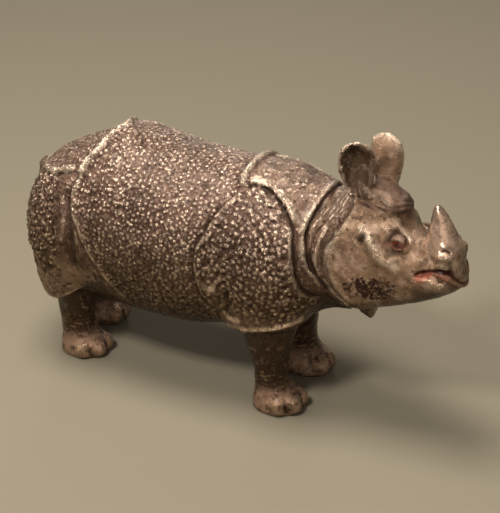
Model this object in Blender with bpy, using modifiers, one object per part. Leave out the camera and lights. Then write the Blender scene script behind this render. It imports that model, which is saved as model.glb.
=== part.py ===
"""A cast rhinoceros figurine, standing on its four feet.

The figure faces +X, its right side is -Y and it stands on Z = 0. It is one casting, so it is
one object. Its pose and carving are shares of its length: every size in the tables below is in
units of which the figure is 196 long, and each is a millimetre at the real size. The tables
measure from a point under the barrel. The origin moves under the middle of the bounds last.
"""

import math
from typing import NamedTuple

import bmesh
import bpy
import numpy as np
from mathutils import Matrix, Vector
from mathutils.bvhtree import BVHTree

LENGTH = 0.196
UNIT = LENGTH / 196

MASS_CELL = 1.5
DETAIL_CELL = 1.05
RING_SIDES = 40
TRIANGLES = 9600

HEAD_PIVOT_X = 62.0
HEAD_TURN = math.radians(-11)
TOES_OUT = 23
TOE_SPREAD = 50
RIGHT, LEFT = -1, 1


class Fold(NamedTuple):
    """A fold of the hide along a curve. The plate that overlaps is on the curve's left.

    A point is (distance along, angle from straight up) about the axis of the trunk or of the
    head, or a place (x, y, z) near the skin. Points are on the right side, and each fold is
    on both sides. One that goes across the middle is a single curve over both.
    """

    name: str
    points: list
    lip: float
    lip_width: float
    groove: float
    groove_width: float
    roll: float = 0.0
    valley: bool = False
    across: bool = False
    fade: float = 3.0
    head: bool = False


def clear_scene():
    for obj in list(bpy.data.objects):
        bpy.data.objects.remove(obj)


def smooth_rows(rows, steps):
    """Rows of numbers joined by a Catmull-Rom curve, with this many steps between two rows."""
    rows = np.array(rows, float)
    ends = np.vstack([2 * rows[0] - rows[1], rows, 2 * rows[-1] - rows[-2]])
    made = []
    for i in range(len(rows) - 1):
        a, b, c, d = ends[i : i + 4]
        for t in np.arange(steps) / steps:
            made.append(
                0.5 * (2 * b + (c - a) * t + (2 * a - 5 * b + 4 * c - d) * t**2
                       + (3 * b - a - 3 * c + d) * t**3)
            )
    made.append(rows[-1])
    return np.array(made)


def power_curve(angle, square):
    """A point of the unit superellipse, which is a circle where square is 2."""
    c, s = math.cos(angle), math.sin(angle)
    return (
        math.copysign(abs(c) ** (2 / square), c),
        math.copysign(abs(s) ** (2 / square), s),
    )


def skin_of_rings(rings):
    """A closed skin over rings of points, each end closed with one face."""
    shape = bmesh.new()
    rows = [[shape.verts.new(Vector(p) * UNIT) for p in ring] for ring in rings]
    for low, high in zip(rows, rows[1:]):
        for i in range(len(low)):
            j = (i + 1) % len(low)
            shape.faces.new((low[i], low[j], high[j], high[i]))
    shape.faces.new(list(reversed(rows[0])))
    shape.faces.new(rows[-1])
    bmesh.ops.recalc_face_normals(shape, faces=shape.faces)
    mesh = bpy.data.meshes.new("skin")
    shape.to_mesh(mesh)
    shape.free()
    return mesh


def in_place(x, y, z):
    return (x, y, z)


def head_point(along, side, height):
    """A place on the head, which is turned about the neck, as a point of the figure."""
    c, s = math.cos(HEAD_TURN), math.sin(HEAD_TURN)
    return (HEAD_PIVOT_X + along * c - side * s, along * s + side * c, height)


def upright_loft(rows, place=in_place, steps=5):
    """A body of upright sections: x, lowest, highest, half width, widest height, squareness."""
    rings = []
    for x, low, high, half, waist, square in smooth_rows(rows, steps):
        ring = []
        for k in range(RING_SIDES):
            side, rise = power_curve(2 * math.pi * k / RING_SIDES, square)
            reach = (high - waist) if rise > 0 else (waist - low)
            ring.append(place(x, side * half, waist + rise * reach))
        rings.append(ring)
    return skin_of_rings(rings)


def level_loft(rows, side=1, front=0.0, back=0.0, place=in_place, steps=4):
    """A limb of level sections: z, centre x, centre y, half length, half width, squareness.

    front and back are the slopes at which the sections rise towards either end.
    """
    rings = []
    for z, x, y, long, wide, square in smooth_rows(rows, steps):
        ring = []
        for k in range(RING_SIDES):
            a, b = power_curve(2 * math.pi * k / RING_SIDES, square)
            rise = (front * max(a, 0) - back * min(a, 0)) * long
            ring.append(place(x + a * long, side * (y + b * wide), z + rise))
        rings.append(ring)
    return skin_of_rings(rings)


def ball(centre, radii, turn=0.0, place=in_place):
    """An ellipsoid, turned about its own cross axis by this many degrees, nose up."""
    shape = bmesh.new()
    bmesh.ops.create_uvsphere(shape, u_segments=32, v_segments=20, radius=1.0)
    spin = Matrix.Rotation(math.radians(-turn), 3, "Y")
    for v in shape.verts:
        p = spin @ Vector((v.co.x * radii[0], v.co.y * radii[1], v.co.z * radii[2]))
        v.co = Vector(place(*(p + Vector(centre)))) * UNIT
    mesh = bpy.data.meshes.new("ball")
    shape.to_mesh(mesh)
    shape.free()
    return mesh


TRUNK = [
    (-72.0, 53, 70, 6, 62, 2.0),
    (-71.0, 46, 75.5, 12, 61, 2.0),
    (-67.5, 38, 80.5, 18, 60, 2.1),
    (-61.0, 31, 86.5, 23.5, 60, 2.15),
    (-50.0, 27.5, 92.5, 28.5, 60, 2.2),
    (-38.0, 25, 97.5, 30.5, 60, 2.2),
    (-27.0, 24, 102.5, 31.5, 60, 2.15),
    (-12.0, 23.5, 100.0, 32.5, 59, 2.1),
    (6.0, 24.5, 98.0, 32.5, 59, 2.1),
    (22.0, 28, 98, 31, 60, 2.1),
    (35.0, 32, 99.5, 29, 62, 2.1),
    (46.0, 35, 98.5, 26.5, 64, 2.1),
    (57.0, 40, 95.5, 23.5, 67, 2.0),
    (68.0, 48, 93, 19, 70, 2.0),
    (74.0, 54, 88, 14, 71, 2.0),
]

HEAD = [
    (0.0, 56, 90, 14, 72, 2.0),
    (7.0, 51, 94.5, 18, 69, 2.1),
    (14.0, 50, 97, 19, 67, 2.2),
    (21.0, 51.5, 98.5, 18, 68, 2.2),
    (27.0, 53.5, 98, 16, 69, 2.2),
    (32.0, 55.5, 94.5, 14, 70, 2.3),
    (37.0, 58, 88, 12.3, 72, 2.4),
    (44.0, 61.5, 85, 11, 73, 2.6),
    (50.5, 65.5, 86, 10.3, 75, 2.6),
    (55.0, 68.5, 84.5, 9.2, 76, 2.4),
    (58.3, 71, 79.5, 6.2, 75, 2.0),
]

HORN = [
    (80.0, 49.3, 0, 8.5, 8.0, 2.0),
    (85.0, 49.3, 0, 8.0, 7.4, 2.0),
    (89.0, 49.0, 0, 6.5, 6.0, 2.0),
    (93.5, 48.3, 0, 4.9, 4.6, 2.0),
    (98.0, 47.0, 0, 3.3, 3.1, 2.0),
    (101.0, 46.0, 0, 2.1, 2.0, 2.0),
    (102.3, 45.6, 0, 0.9, 0.9, 2.0),
]

FORE_LEG = [
    (-2.0, 0.8, 0, 9.2, 8.6, 2.3),
    (1.5, 0.8, 0, 9.9, 9.3, 2.3),
    (5.5, 0.6, 0, 9.5, 9.0, 2.2),
    (9.5, -0.4, 0, 8.0, 7.8, 2.1),
    (14.0, -1.6, 0, 6.9, 7.0, 2.0),
    (20.0, -2.2, 0, 7.3, 7.2, 2.0),
    (28.0, -3.2, -0.5, 9.4, 8.4, 2.0),
    (38.0, -3.4, -1, 12.4, 10.0, 2.0),
    (50.0, -2.0, -2, 13.0, 10.0, 2.0),
]

HIND_LEG = [
    (-2.0, 0.7, 0, 8.9, 8.2, 2.3),
    (1.5, 0.7, 0, 9.6, 9.0, 2.3),
    (5.5, 0.6, 0, 9.2, 8.7, 2.2),
    (9.5, -0.4, 0, 7.8, 7.7, 2.1),
    (14.0, -1.4, 0, 7.2, 7.2, 2.0),
    (20.0, -1.8, 0, 7.8, 7.4, 2.0),
    (28.0, -1.4, -0.5, 9.6, 8.2, 2.0),
    (38.0, -0.6, -1.5, 12.6, 10.0, 2.0),
    (50.0, 0.0, -2.5, 14.0, 10.0, 2.0),
]

FEET = {
    "right fore": (44.6, 16.0, RIGHT, FORE_LEG),
    "left fore": (42.6, 15.4, LEFT, FORE_LEG),
    "right hind": (-47.8, 14.8, RIGHT, HIND_LEG),
    "left hind": (-55.0, 11.8, LEFT, HIND_LEG),
}

THIGH = [
    (28.5, 0.5, 16.0, 11.0, 10.0, 2.3),
    (31.0, 0.8, 16.8, 14.0, 12.2, 2.3),
    (38.0, 0.8, 17.3, 16.0, 13.2, 2.2),
    (50.0, 0.6, 17.5, 18.0, 13.8, 2.2),
    (62.0, 0.0, 16.5, 20.0, 13.2, 2.1),
    (74.0, 0.5, 14.5, 18.5, 11.5, 2.1),
    (84.0, 2.0, 12.0, 15.0, 8.5, 2.1),
]

SLEEVE = [
    (37.0, -1.0, 15.5, 14.5, 10.5, 2.4),
    (39.2, -1.0, 16.3, 17.2, 12.2, 2.5),
    (46.0, -1.0, 17.0, 17.8, 12.6, 2.4),
    (53.0, -1.5, 17.5, 18.0, 13.0, 2.3),
    (62.0, -2.5, 17.5, 19.5, 13.5, 2.2),
    (74.0, -3.0, 16.0, 18.5, 13.0, 2.2),
    (86.0, -3.0, 12.5, 14.0, 10.0, 2.1),
]


def ear(side, facing, back, drop):
    """A cupped ear. Its hollow looks this many degrees away from straight ahead."""
    rows = smooth_rows(
        [
            (88.0, 2.0, 8.0, 3.6, 3.4, 0.0),
            (94.0, 1.8, 8.2, 3.2, 3.0, 0.0),
            (97.5, 1.4, 8.4, 3.6, 3.4, 0.3),
            (102.0, 0.9, 8.6, 4.9, 4.6, 0.9),
            (108.0, 0.3, 8.9, 6.6, 5.4, 1.0),
            (113.5, 0.0, 9.1, 7.3, 5.4, 1.0),
            (117.6, 0.0, 9.2, 6.4, 4.6, 1.0),
            (120.2, 0.0, 9.3, 4.4, 3.2, 0.8),
            (121.6, 0.0, 9.3, 2.0, 1.6, 0.3),
        ],
        4,
    )
    wall, half_turn, count = 2.0, math.radians(100), 16
    look = math.radians(facing) * side
    rings = []
    for z, along, out, wide, deep, hollow in rows:
        wall_here = min(wall, 0.55 * wide)
        inner_deep = hollow * (deep - wall_here) - (1 - hollow) * 0.8 * deep
        ring = []
        for k in range(count + 1):
            a = half_turn * (2 * k / count - 1)
            ring.append((-deep * math.cos(a), wide * math.sin(a)))
        for k in range(count - 1, 0, -1):
            a = half_turn * (2 * k / count - 1)
            ring.append((-inner_deep * math.cos(a), (wide - wall_here) * math.sin(a)))
        placed = []
        for f, w in ring:
            placed.append(
                head_point(
                    18.0 - back + along + f * math.cos(look) - w * math.sin(look),
                    side * out + f * math.sin(look) + w * math.cos(look),
                    z - drop,
                )
            )
        rings.append(placed)
    return skin_of_rings(rings)


def joined(name, pieces):
    shape = bmesh.new()
    for piece in pieces:
        shape.from_mesh(piece)
        bpy.data.meshes.remove(piece)
    mesh = bpy.data.meshes.new(name)
    shape.to_mesh(mesh)
    shape.free()
    return mesh


def as_evaluated(obj):
    """The object's mesh with its modifiers applied, which then leave it."""
    graph = bpy.context.evaluated_depsgraph_get()
    mesh = bpy.data.meshes.new_from_object(obj.evaluated_get(graph))
    obj.modifiers.clear()
    obj.data = mesh
    return obj


def fused(obj, cell, rounds):
    """One skin around all that overlaps, with its seams softened."""
    remesh = obj.modifiers.new("clay", "REMESH")
    remesh.mode = "VOXEL"
    remesh.voxel_size = cell * UNIT
    smooth = obj.modifiers.new("thumb", "SMOOTH")
    smooth.factor = 0.5
    smooth.iterations = rounds
    return as_evaluated(obj)


def masses():
    """The big forms: trunk, head, thighs and shoulders."""
    pieces = [upright_loft(TRUNK), upright_loft(HEAD, place=head_point)]
    for side in (RIGHT, LEFT):
        thigh = [(z, x - 49, *rest) for z, x, *rest in THIGH]
        pieces.append(level_loft(thigh, side, front=0.85, back=0.05))
        sleeve = [(z, x + 43, *rest) for z, x, *rest in SLEEVE]
        pieces.append(level_loft(sleeve, side, front=0.3, back=-0.24))
        pieces.append(ball((17, side * 10.5, 66), (14, 9, 13), place=head_point))
    pieces.append(ball((24.5, 0, 94), (10.5, 9.5, 9), place=head_point))
    pieces.append(ball((20.0, 1.0, 96.5), (7.5, 8.0, 7.5), place=head_point))
    pieces.append(ball((60, 0, 55), (14, 12, 12)))
    pieces.append(ball((68, 0, 52.5), (9, 9, 9)))
    return pieces


def details():
    """The finer forms: ears, horn, legs, feet, eyes, nose, tail and throat."""
    pieces = [
        level_loft(HORN, place=head_point),
        ear(RIGHT, 58, 2.8, 0.0),
        ear(LEFT, 96, 1.0, 1.6),
        ball((-69.8, 0, 75.5), (4.2, 4.4, 4.0)),
        level_loft(
            [(77, -70.5, 0, 2.5, 3.4, 2), (70, -72, 0, 2.6, 3.0, 2), (58, -73, 0, 2.4, 2.6, 2),
             (48, -73, 0, 2.1, 2.2, 2), (43, -72, 0, 1.0, 1.2, 2)]
        ),
    ]
    for x, y, side, leg in FEET.values():
        pieces.append(level_loft([(z, x + a, y + b, *rest) for z, a, b, *rest in leg], side))
        for angle in (-TOE_SPREAD, 0, TOE_SPREAD):
            a = math.radians(angle + side * TOES_OUT)
            toe = (x + 2.2 + 6.6 * math.cos(a), side * y + 5.6 * math.sin(a), 3.9)
            pieces.append(ball(toe, (4.9, 4.7, 5.0)))
    for side in (RIGHT, LEFT):
        pieces.append(ball((37.0, side * 9.7, 85.4), (3.0, 2.8, 2.9), place=head_point))
        pieces.append(ball((52.4, side * 5.8, 84.6), (3.6, 2.6, 3.4), place=head_point))
    throat = [
        (55, 77.0, 4, 8.0, 6.0, 2), (50, 77.2, 4, 6.4, 4.0, 2), (46.5, 78.6, 4, 3.4, 2.2, 2),
        (44.2, 79.6, 4, 1.6, 1.3, 2), (43.0, 79.9, 4, 0.7, 0.7, 2),
    ]
    pieces.append(level_loft(throat, RIGHT))
    pieces.append(ball((56.6, 0, 73.6), (4.0, 5.2, 3.6), place=head_point))
    pieces.append(ball((50.6, 0, 71.8), (5.8, 7.2, 4.6), place=head_point))
    return pieces


FOLDS = [
    Fold("hip", [(-31, 0), (-33.5, 9), (-34.7, 19), (-37.1, 26), (-39.4, 34), (-40.8, 44),
                 (-42.3, 52), (-41.8, 61), (-39.5, 70), (-36.8, 79), (-34, 90), (-30.7, 99),
                 (-26.6, 109), (-23, 118), (-19, 129), (-15, 141)],
         lip=1.3, lip_width=2.2, groove=1.7, groove_width=2.4, across=True, fade=9),
    Fold("hip crest", [(-31, 0), (-33.5, 9), (-34.7, 19), (-37.1, 26), (-39.4, 34), (-40.6, 42)],
         lip=0.0, lip_width=1.7, groove=0.0, groove_width=1.7, roll=1.5, across=True, fade=5),
    Fold("rump", [(-71, 12), (-66, 26), (-59, 36), (-54.4, 39), (-48.8, 37), (-42.5, 36)],
         lip=1.3, lip_width=1.8, groove=1.5, groove_width=2.4, fade=2),
    Fold("flank", [(-43.6, 48), (-43.8, 56), (-42.2, 73), (-41, 93), (-40.5, 107), (-40, 118)],
         lip=0.0, lip_width=2, groove=1.2, groove_width=1.8, valley=True, fade=6),
    Fold("buttock", [(-69.5, 130), (-67, 117), (-63, 108), (-58, 104), (-52, 101), (-47, 101)],
         lip=1.1, lip_width=2.6, groove=1.0, groove_width=1.8, fade=8),
    Fold("thigh hem", [(-61.5, -19, 30), (-57, -25, 29.5), (-49, -28, 30.5), (-42.5, -27.5, 34),
                       (-37.5, -25, 38.5), (-34, -22, 41)],
         lip=1.2, lip_width=1.8, groove=2.0, groove_width=2.0, fade=4),
    Fold("cleft", [(-71.5, 3.6, 72), (-72.5, 3.8, 64), (-72, 4.0, 54), (-69, 4.0, 44), (-62, 4, 36)],
         lip=0.0, lip_width=2, groove=1.6, groove_width=1.4, valley=True, fade=5),
    Fold("cross", [(28, 0), (28, 10), (28.3, 18), (30.5, 25)],
         lip=0.0, lip_width=1.6, groove=0.0, groove_width=2, roll=1.9, across=True, fade=3),
    Fold("withers", [(29.6, 19), (34.1, 19.5), (39.2, 20.5), (44, 24), (48.3, 28.5), (51.2, 33.5),
                     (53.6, 40)],
         lip=1.2, lip_width=1.8, groove=1.5, groove_width=1.8, fade=3),
    Fold("shield front", [(64.5, 107), (60.5, 99), (58, 87), (57, 75), (55.9, 63), (54.6, 50),
                          (53.0, 40), (50.9, 35)],
         lip=0.6, lip_width=2.4, groove=1.7, groove_width=1.4, fade=4),
    Fold("shield rear", [(29.8, 25), (25.7, 35), (22.7, 43), (20.8, 51), (18.9, 60), (16.8, 67),
                         (16.1, 77), (16.6, 88), (18.3, 99), (20, 108), (23.1, 116.5),
                         (27.1, 117), (30.2, 111)],
         lip=1.0, lip_width=2.4, groove=1.3, groove_width=1.8, fade=5),
    Fold("sleeve rear", [(31.8, 103), (31.0, 111), (28.6, 119), (26.8, 129)],
         lip=0.8, lip_width=2.0, groove=1.3, groove_width=1.6, fade=4),
    Fold("sleeve hem", [(26.5, -24, 35.5), (31, -28, 36.5), (42, -30, 38.5), (51, -29, 41.2),
                        (57.5, -25, 44.2), (60.5, -19, 46)],
         lip=1.0, lip_width=1.6, groove=1.8, groove_width=1.8, fade=3),
    Fold("collar", [(67.6, 95), (64.8, 77), (61.3, 64), (59.5, 53), (58.3, 43), (58.0, 36),
                    (58.4, 29), (59.6, 17), (60.2, 8), (60.4, 0)],
         lip=0.9, lip_width=1.8, groove=1.4, groove_width=1.7, across=True, fade=5),
    Fold("neck roll", [(67.5, 0), (66.8, 12), (66.0, 22), (65.2, 31), (63.8, 42), (63.0, 53),
                       (64.5, 66), (68.5, 85)],
         lip=0.0, lip_width=1.4, groove=0.0, groove_width=1.4, roll=1.2, across=True, fade=6),
    Fold("cheek", [(75, 17), (73.6, 24), (71.2, 33), (69.3, 41), (68.2, 50), (68.7, 62),
                   (70.7, 74), (73.0, 83), (76.8, 91), (81.2, 98)],
         lip=1.0, lip_width=2.2, groove=1.7, groove_width=1.6, fade=4),
    Fold("forehead", [(12, 34), (17, 31), (21.5, 27), (26.4, 23), (30.4, 17), (33.4, 9), (34.4, 0)],
         lip=0.6, lip_width=2.0, groove=0.9, groove_width=1.6, across=True, fade=5, head=True),
    Fold("cheekbone", [(19.5, 33), (22.5, 38), (26.6, 46), (29.6, 58), (34, 68)],
         lip=0.0, lip_width=2, groove=0.0, groove_width=2, roll=1.3, fade=5, head=True),
    Fold("mouth", [(42.4, -10.9, 75.0), (46.8, -10.4, 77.0), (51, -10, 77.6), (55, -9, 76.2),
                   (57.3, -6.3, 73.6), (58.4, -3, 71.6), (58.6, 0, 71)],
         lip=0.5, lip_width=1.4, groove=2.2, groove_width=1.0, across=True, valley=True,
         fade=3, head=True),
]

PITS = [
    ((37.0, 11.6, 86.0), [(0, 1.8, 0.3), (3.9, 0.9, -0.7)]),
    ((53.2, 6.2, 86.4), [(0, 1.4, -1.5), (2.6, 0.9, 0.4)]),
]

TRUNK_AXIS = 60.0
HEAD_AXIS = 72.0


def points_on_skin(fold, side, skin):
    """The fold's points on one side of the figure, laid on its skin."""
    found = []
    for point in fold.points:
        place = head_point if fold.head else in_place
        if len(point) == 3:
            near = Vector(place(point[0], -side * point[1], point[2])) * UNIT
            found.append(skin.find_nearest(near)[0])
            continue
        along, angle = point
        a = math.radians(angle)
        axis = HEAD_AXIS if fold.head else TRUNK_AXIS
        inner = Vector(place(along, 0, axis)) * UNIT
        outer = Vector(place(along, side * 70 * math.sin(a), axis + 70 * math.cos(a))) * UNIT
        hit = skin.ray_cast(outer, inner - outer)[0]
        found.append(hit)
    return found


def fold_paths(fold, skin):
    """The curves of a fold on the skin, each with the side on which its plate is."""
    right = points_on_skin(fold, RIGHT, skin)
    left = points_on_skin(fold, LEFT, skin)
    if fold.across:
        start_in_middle = abs(fold.points[0][1]) < 1e-6 and len(fold.points[0]) == 2
        if start_in_middle:
            return [(list(reversed(left))[:-1] + right, 1)]
        return [(right + list(reversed(left))[1:], 1)]
    return [(right, 1), (left, -1)]


def carve(obj, folds):
    """Press the folds into the skin of the object and raise their lips."""
    mesh = obj.data
    count = len(mesh.vertices)
    places = np.empty(count * 3)
    mesh.vertices.foreach_get("co", places)
    places = places.reshape(-1, 3)
    normals = np.empty(count * 3)
    mesh.vertex_normals.foreach_get("vector", normals)
    normals = normals.reshape(-1, 3)
    skin = BVHTree.FromPolygons(
        [v.co for v in mesh.vertices], [tuple(p.vertices) for p in mesh.polygons]
    )
    moved = np.zeros(count)
    for fold in folds:
        best = np.zeros(count)
        for points, hand in fold_paths(fold, skin):
            path = smooth_rows([tuple(p) for p in points], 24)
            steps = np.linalg.norm(np.diff(path, axis=0), axis=1)
            run = np.concatenate([[0], np.cumsum(steps)])
            path = np.stack(
                [np.interp(np.arange(0, run[-1], 0.6 * UNIT), run, path[:, k]) for k in range(3)],
                axis=1,
            )
            reach = 3.2 * max(fold.lip_width, fold.groove_width) * UNIT
            low = path.min(0) - reach
            high = path.max(0) + reach
            near = np.flatnonzero(np.all((places > low) & (places < high), axis=1))
            at = places[near]
            nearest = np.empty(len(near), int)
            for start in range(0, len(near), 4000):
                gap = at[start : start + 4000, None, :] - path[None, :, :]
                nearest[start : start + 4000] = np.argmin((gap**2).sum(2), axis=1)
            tangent = np.gradient(path, axis=0)
            tangent /= np.linalg.norm(tangent, axis=1)[:, None]
            offset = at - path[nearest]
            along = tangent[nearest]
            across = np.cross(along, normals[near]) * hand
            distance = np.linalg.norm(offset, axis=1) / UNIT
            across /= np.maximum(np.linalg.norm(across, axis=1), 1e-9)[:, None]
            signed = (offset * across).sum(1) / UNIT
            left = np.minimum(nearest, len(path) - 1 - nearest) * 0.6
            strength = np.clip(left / fold.fade, 0, 1)
            strength = strength * strength * (3 - 2 * strength)
            under = 1 / (1 + np.exp(-np.clip(signed / 0.4, -40, 40)))
            if fold.valley:
                under = np.ones_like(signed)
            lip = fold.lip * np.exp(-((distance / fold.lip_width) ** 2))
            groove = fold.groove * np.exp(-((distance / fold.groove_width) ** 2))
            height = lip * (1 - under) - groove * under
            height += fold.roll * np.exp(-((distance / fold.lip_width) ** 2))
            height *= strength
            better = np.abs(height) > np.abs(best[near])
            best[near[better]] = height[better]
        moved += best
    places += normals * (moved * UNIT)[:, None]
    mesh.vertices.foreach_set("co", places.ravel())
    mesh.update()


def pits_pressed(obj, pits):
    """Press round features, each a set of rings about a place on the head, on both sides."""
    mesh = obj.data
    for place, rings in pits:
        for side in (RIGHT, LEFT):
            centre = np.array(head_point(place[0], side * place[1], place[2])) * UNIT
            for v in mesh.vertices:
                gap = (v.co - Vector(centre)).length / UNIT
                if gap < 8:
                    height = sum(h * math.exp(-(((gap - r) / w) ** 2)) for r, w, h in rings)
                    v.co += v.normal * (height * UNIT)
    mesh.update()


def thinned(obj, count):
    """The object's skin with about this many triangles."""
    thin = obj.modifiers.new("thin", "DECIMATE")
    triangles = sum(len(p.vertices) - 2 for p in obj.data.polygons)
    thin.ratio = count / triangles
    return as_evaluated(obj)


def soles_cut(obj):
    """The feet cut flat where they stand."""
    cut = bpy.data.collections.new("cutters")
    bpy.context.scene.collection.children.link(cut)
    bpy.ops.mesh.primitive_cube_add(size=1)
    floor = bpy.context.active_object
    floor.name = "floor_cutter"
    for holder in list(floor.users_collection):
        holder.objects.unlink(floor)
    cut.objects.link(floor)
    floor.data.transform(Matrix.Diagonal((2 * LENGTH, LENGTH, 20 * UNIT, 1)))
    floor.data.transform(Matrix.Translation((0, 0, -10 * UNIT)))
    floor.hide_render = True
    floor.display_type = "WIRE"
    boolean = obj.modifiers.new("flat_soles", "BOOLEAN")
    boolean.operation = "DIFFERENCE"
    boolean.solver = "EXACT"
    boolean.object = floor
    as_evaluated(obj)


def centred(obj):
    """The origin put under the middle of the object's bounds, on the ground."""
    places = np.array([v.co for v in obj.data.vertices])
    low, high = places.min(0), places.max(0)
    shift = Vector((-(low[0] + high[0]) / 2, -(low[1] + high[1]) / 2, 0))
    obj.data.transform(Matrix.Translation(shift))
    return shift


def painted_metal():
    """Dull brown paint over bronze."""
    material = bpy.data.materials.new("painted_metal")
    material.use_nodes = True
    shader = material.node_tree.nodes["Principled BSDF"]
    shader.inputs["Base Color"].default_value = (0.17, 0.12, 0.09, 1)
    shader.inputs["Roughness"].default_value = 0.42
    shader.inputs["Metallic"].default_value = 0.45
    return material


def build():
    clear_scene()
    figure = bpy.data.collections.new("rhinoceros")
    bpy.context.scene.collection.children.link(figure)
    obj = bpy.data.objects.new("rhinoceros", joined("masses", masses()))
    figure.objects.link(obj)
    fused(obj, MASS_CELL, 14)
    obj.data = joined("rhinoceros", [obj.data.copy(), *details()])
    fused(obj, DETAIL_CELL, 3)
    carve(obj, FOLDS)
    pits_pressed(obj, PITS)
    thinned(obj, TRIANGLES)
    soles_cut(obj)
    centred(obj)
    obj.data.materials.append(painted_metal())
    return obj


def main():
    build()


if __name__ == "__main__":
    main()
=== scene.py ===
"""The look of a cold-painted bronze rhinoceros, set on a pale floor in soft light.

The figure is one casting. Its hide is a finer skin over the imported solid, with the relief of
the hide raised in it and the paint laid on by place. Sizes in the tables are in millimetres,
measured from the point under the barrel from which the solid's own tables measure.
"""

import logging
import math
from dataclasses import dataclass, field
from enum import Enum
from functools import reduce
from itertools import product

import bpy
import numpy as np
from mathutils import Matrix, Vector
from mathutils.bvhtree import BVHTree
from mathutils.kdtree import KDTree


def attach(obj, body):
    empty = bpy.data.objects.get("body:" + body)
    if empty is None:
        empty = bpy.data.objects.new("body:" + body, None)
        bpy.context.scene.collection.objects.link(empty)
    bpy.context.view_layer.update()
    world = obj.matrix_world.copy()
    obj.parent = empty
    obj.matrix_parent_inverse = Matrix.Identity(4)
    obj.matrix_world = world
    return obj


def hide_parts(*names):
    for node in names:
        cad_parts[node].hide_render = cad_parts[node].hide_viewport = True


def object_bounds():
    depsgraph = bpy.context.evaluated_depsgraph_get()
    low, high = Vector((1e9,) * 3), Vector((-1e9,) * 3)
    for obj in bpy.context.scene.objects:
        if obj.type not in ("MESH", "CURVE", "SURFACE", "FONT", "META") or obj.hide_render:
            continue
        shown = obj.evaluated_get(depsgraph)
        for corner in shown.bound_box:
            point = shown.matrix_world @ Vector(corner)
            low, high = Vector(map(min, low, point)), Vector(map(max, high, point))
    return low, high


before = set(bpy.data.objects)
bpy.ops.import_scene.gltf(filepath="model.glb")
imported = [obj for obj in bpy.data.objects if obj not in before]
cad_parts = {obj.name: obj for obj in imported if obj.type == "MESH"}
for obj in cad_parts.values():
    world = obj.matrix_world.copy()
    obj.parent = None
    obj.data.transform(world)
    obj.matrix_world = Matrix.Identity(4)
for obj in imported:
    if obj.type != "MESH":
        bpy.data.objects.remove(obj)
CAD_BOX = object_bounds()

MM = 0.001
SHIFT = np.array([-23.1121, 0.0022, 0.0])
TRUNK_AXIS = 60.0
OUTSIDE = 70.0
HEAD_PIVOT = 62.0
HEAD_TURN = math.radians(-11)
PRIMES = (73856093, 19349663, 83492791)

Colour = tuple[float, float, float]
log = logging.getLogger("rhinoceros")


class Side(Enum):
    """A side of the figure, by the sign of its Y."""

    RIGHT = -1
    LEFT = 1


class Relief(Enum):
    """How the hide is worked inside one of its plates."""

    BEADED = "beaded"
    KNOBBED = "knobbed"
    PITTED = "pitted"
    SPARSE = "sparse"


def from_head(along: float, side: float, height: float) -> tuple[float, float, float]:
    """A place on the head as a point of the figure.

    Args:
        along: Distance forward from the pivot of the neck.
        side: Distance to the left of the head's own middle.
        height: Height above the ground.

    Returns:
        The same place measured as the rest of the figure is.
    """
    c, s = math.cos(HEAD_TURN), math.sin(HEAD_TURN)
    return (HEAD_PIVOT + along * c - side * s, along * s + side * c, height)


def to_head(points: np.ndarray) -> np.ndarray:
    """Points of the figure measured along, across and up the turned head.

    Args:
        points: Rows of x, y, z.

    Returns:
        Rows of distance along, distance to the left and height.
    """
    c, s = math.cos(HEAD_TURN), math.sin(HEAD_TURN)
    x, y = points[:, 0] - HEAD_PIVOT, points[:, 1]
    return np.stack([x * c + y * s, -x * s + y * c, points[:, 2]], axis=1)


def off_head(points: np.ndarray) -> np.ndarray:
    """The way back from to_head, for rows of places on the head."""
    return np.stack(from_head(*points.T), axis=1)


def mottle(points: np.ndarray, size: float, seed: int) -> np.ndarray:
    """Soft random patches between 0 and 1.

    Args:
        points: Rows of x, y, z.
        size: How far apart the patches are.
        seed: Which pattern.

    Returns:
        One value for each point.
    """
    at = points / size + 11.37 * seed
    low = np.floor(at).astype(np.int64)
    part = at - low
    part = part * part * (3 - 2 * part)
    total = np.zeros(len(points))
    for corner in product((0, 1), repeat=3):
        key = [(low[:, i] + corner[i]) * PRIMES[i] for i in range(3)]
        key = (key[0] ^ key[1] ^ key[2]) + seed * 7919
        key = (key ^ (key >> 13)) * 1274126177 & 0x7FFFFFFF
        value = ((key ^ (key >> 16)) & 0xFFFF) / 65535
        near = [part[:, i] if corner[i] else 1 - part[:, i] for i in range(3)]
        total += value * (near[0] * near[1]) * near[2]
    return total


def rough(points: np.ndarray, size: float, seed: int) -> np.ndarray:
    """Soft random patches between -0.5 and 0.5."""
    return mottle(points, size, seed) - 0.5


def wrinkle(phase: np.ndarray) -> np.ndarray:
    """Rounded ridges with sharp creases between them, one in each half turn of the phase."""
    return np.abs(np.sin(phase)) - 0.6


def ramp(value: np.ndarray, start: float, end: float) -> np.ndarray:
    """0 before start, 1 after end and a smooth rise between them.

    Args:
        value: Where along the ramp.
        start: The value at which it leaves 0.
        end: The value at which it reaches 1.

    Returns:
        The ramp's height for each value.
    """
    t = np.clip((value - start) / (end - start), 0, 1)
    return t * t * (3 - 2 * t)


def hump(distance: np.ndarray, width: float) -> np.ndarray:
    """A soft hump of height 1 at distance 0."""
    return np.exp(-((distance / width) ** 2))


def on_line(at: np.ndarray, points: tuple) -> np.ndarray:
    """The height of a line of (place, height) points at each place."""
    return np.interp(at, *zip(*points))


def search_tree(points: list) -> KDTree:
    """A tree that finds the nearest of the points.

    Args:
        points: The points.

    Returns:
        The tree, ready to be searched.
    """
    tree = KDTree(len(points))
    for i, point in enumerate(points):
        tree.insert(point, i)
    tree.balance()
    return tree


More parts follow.
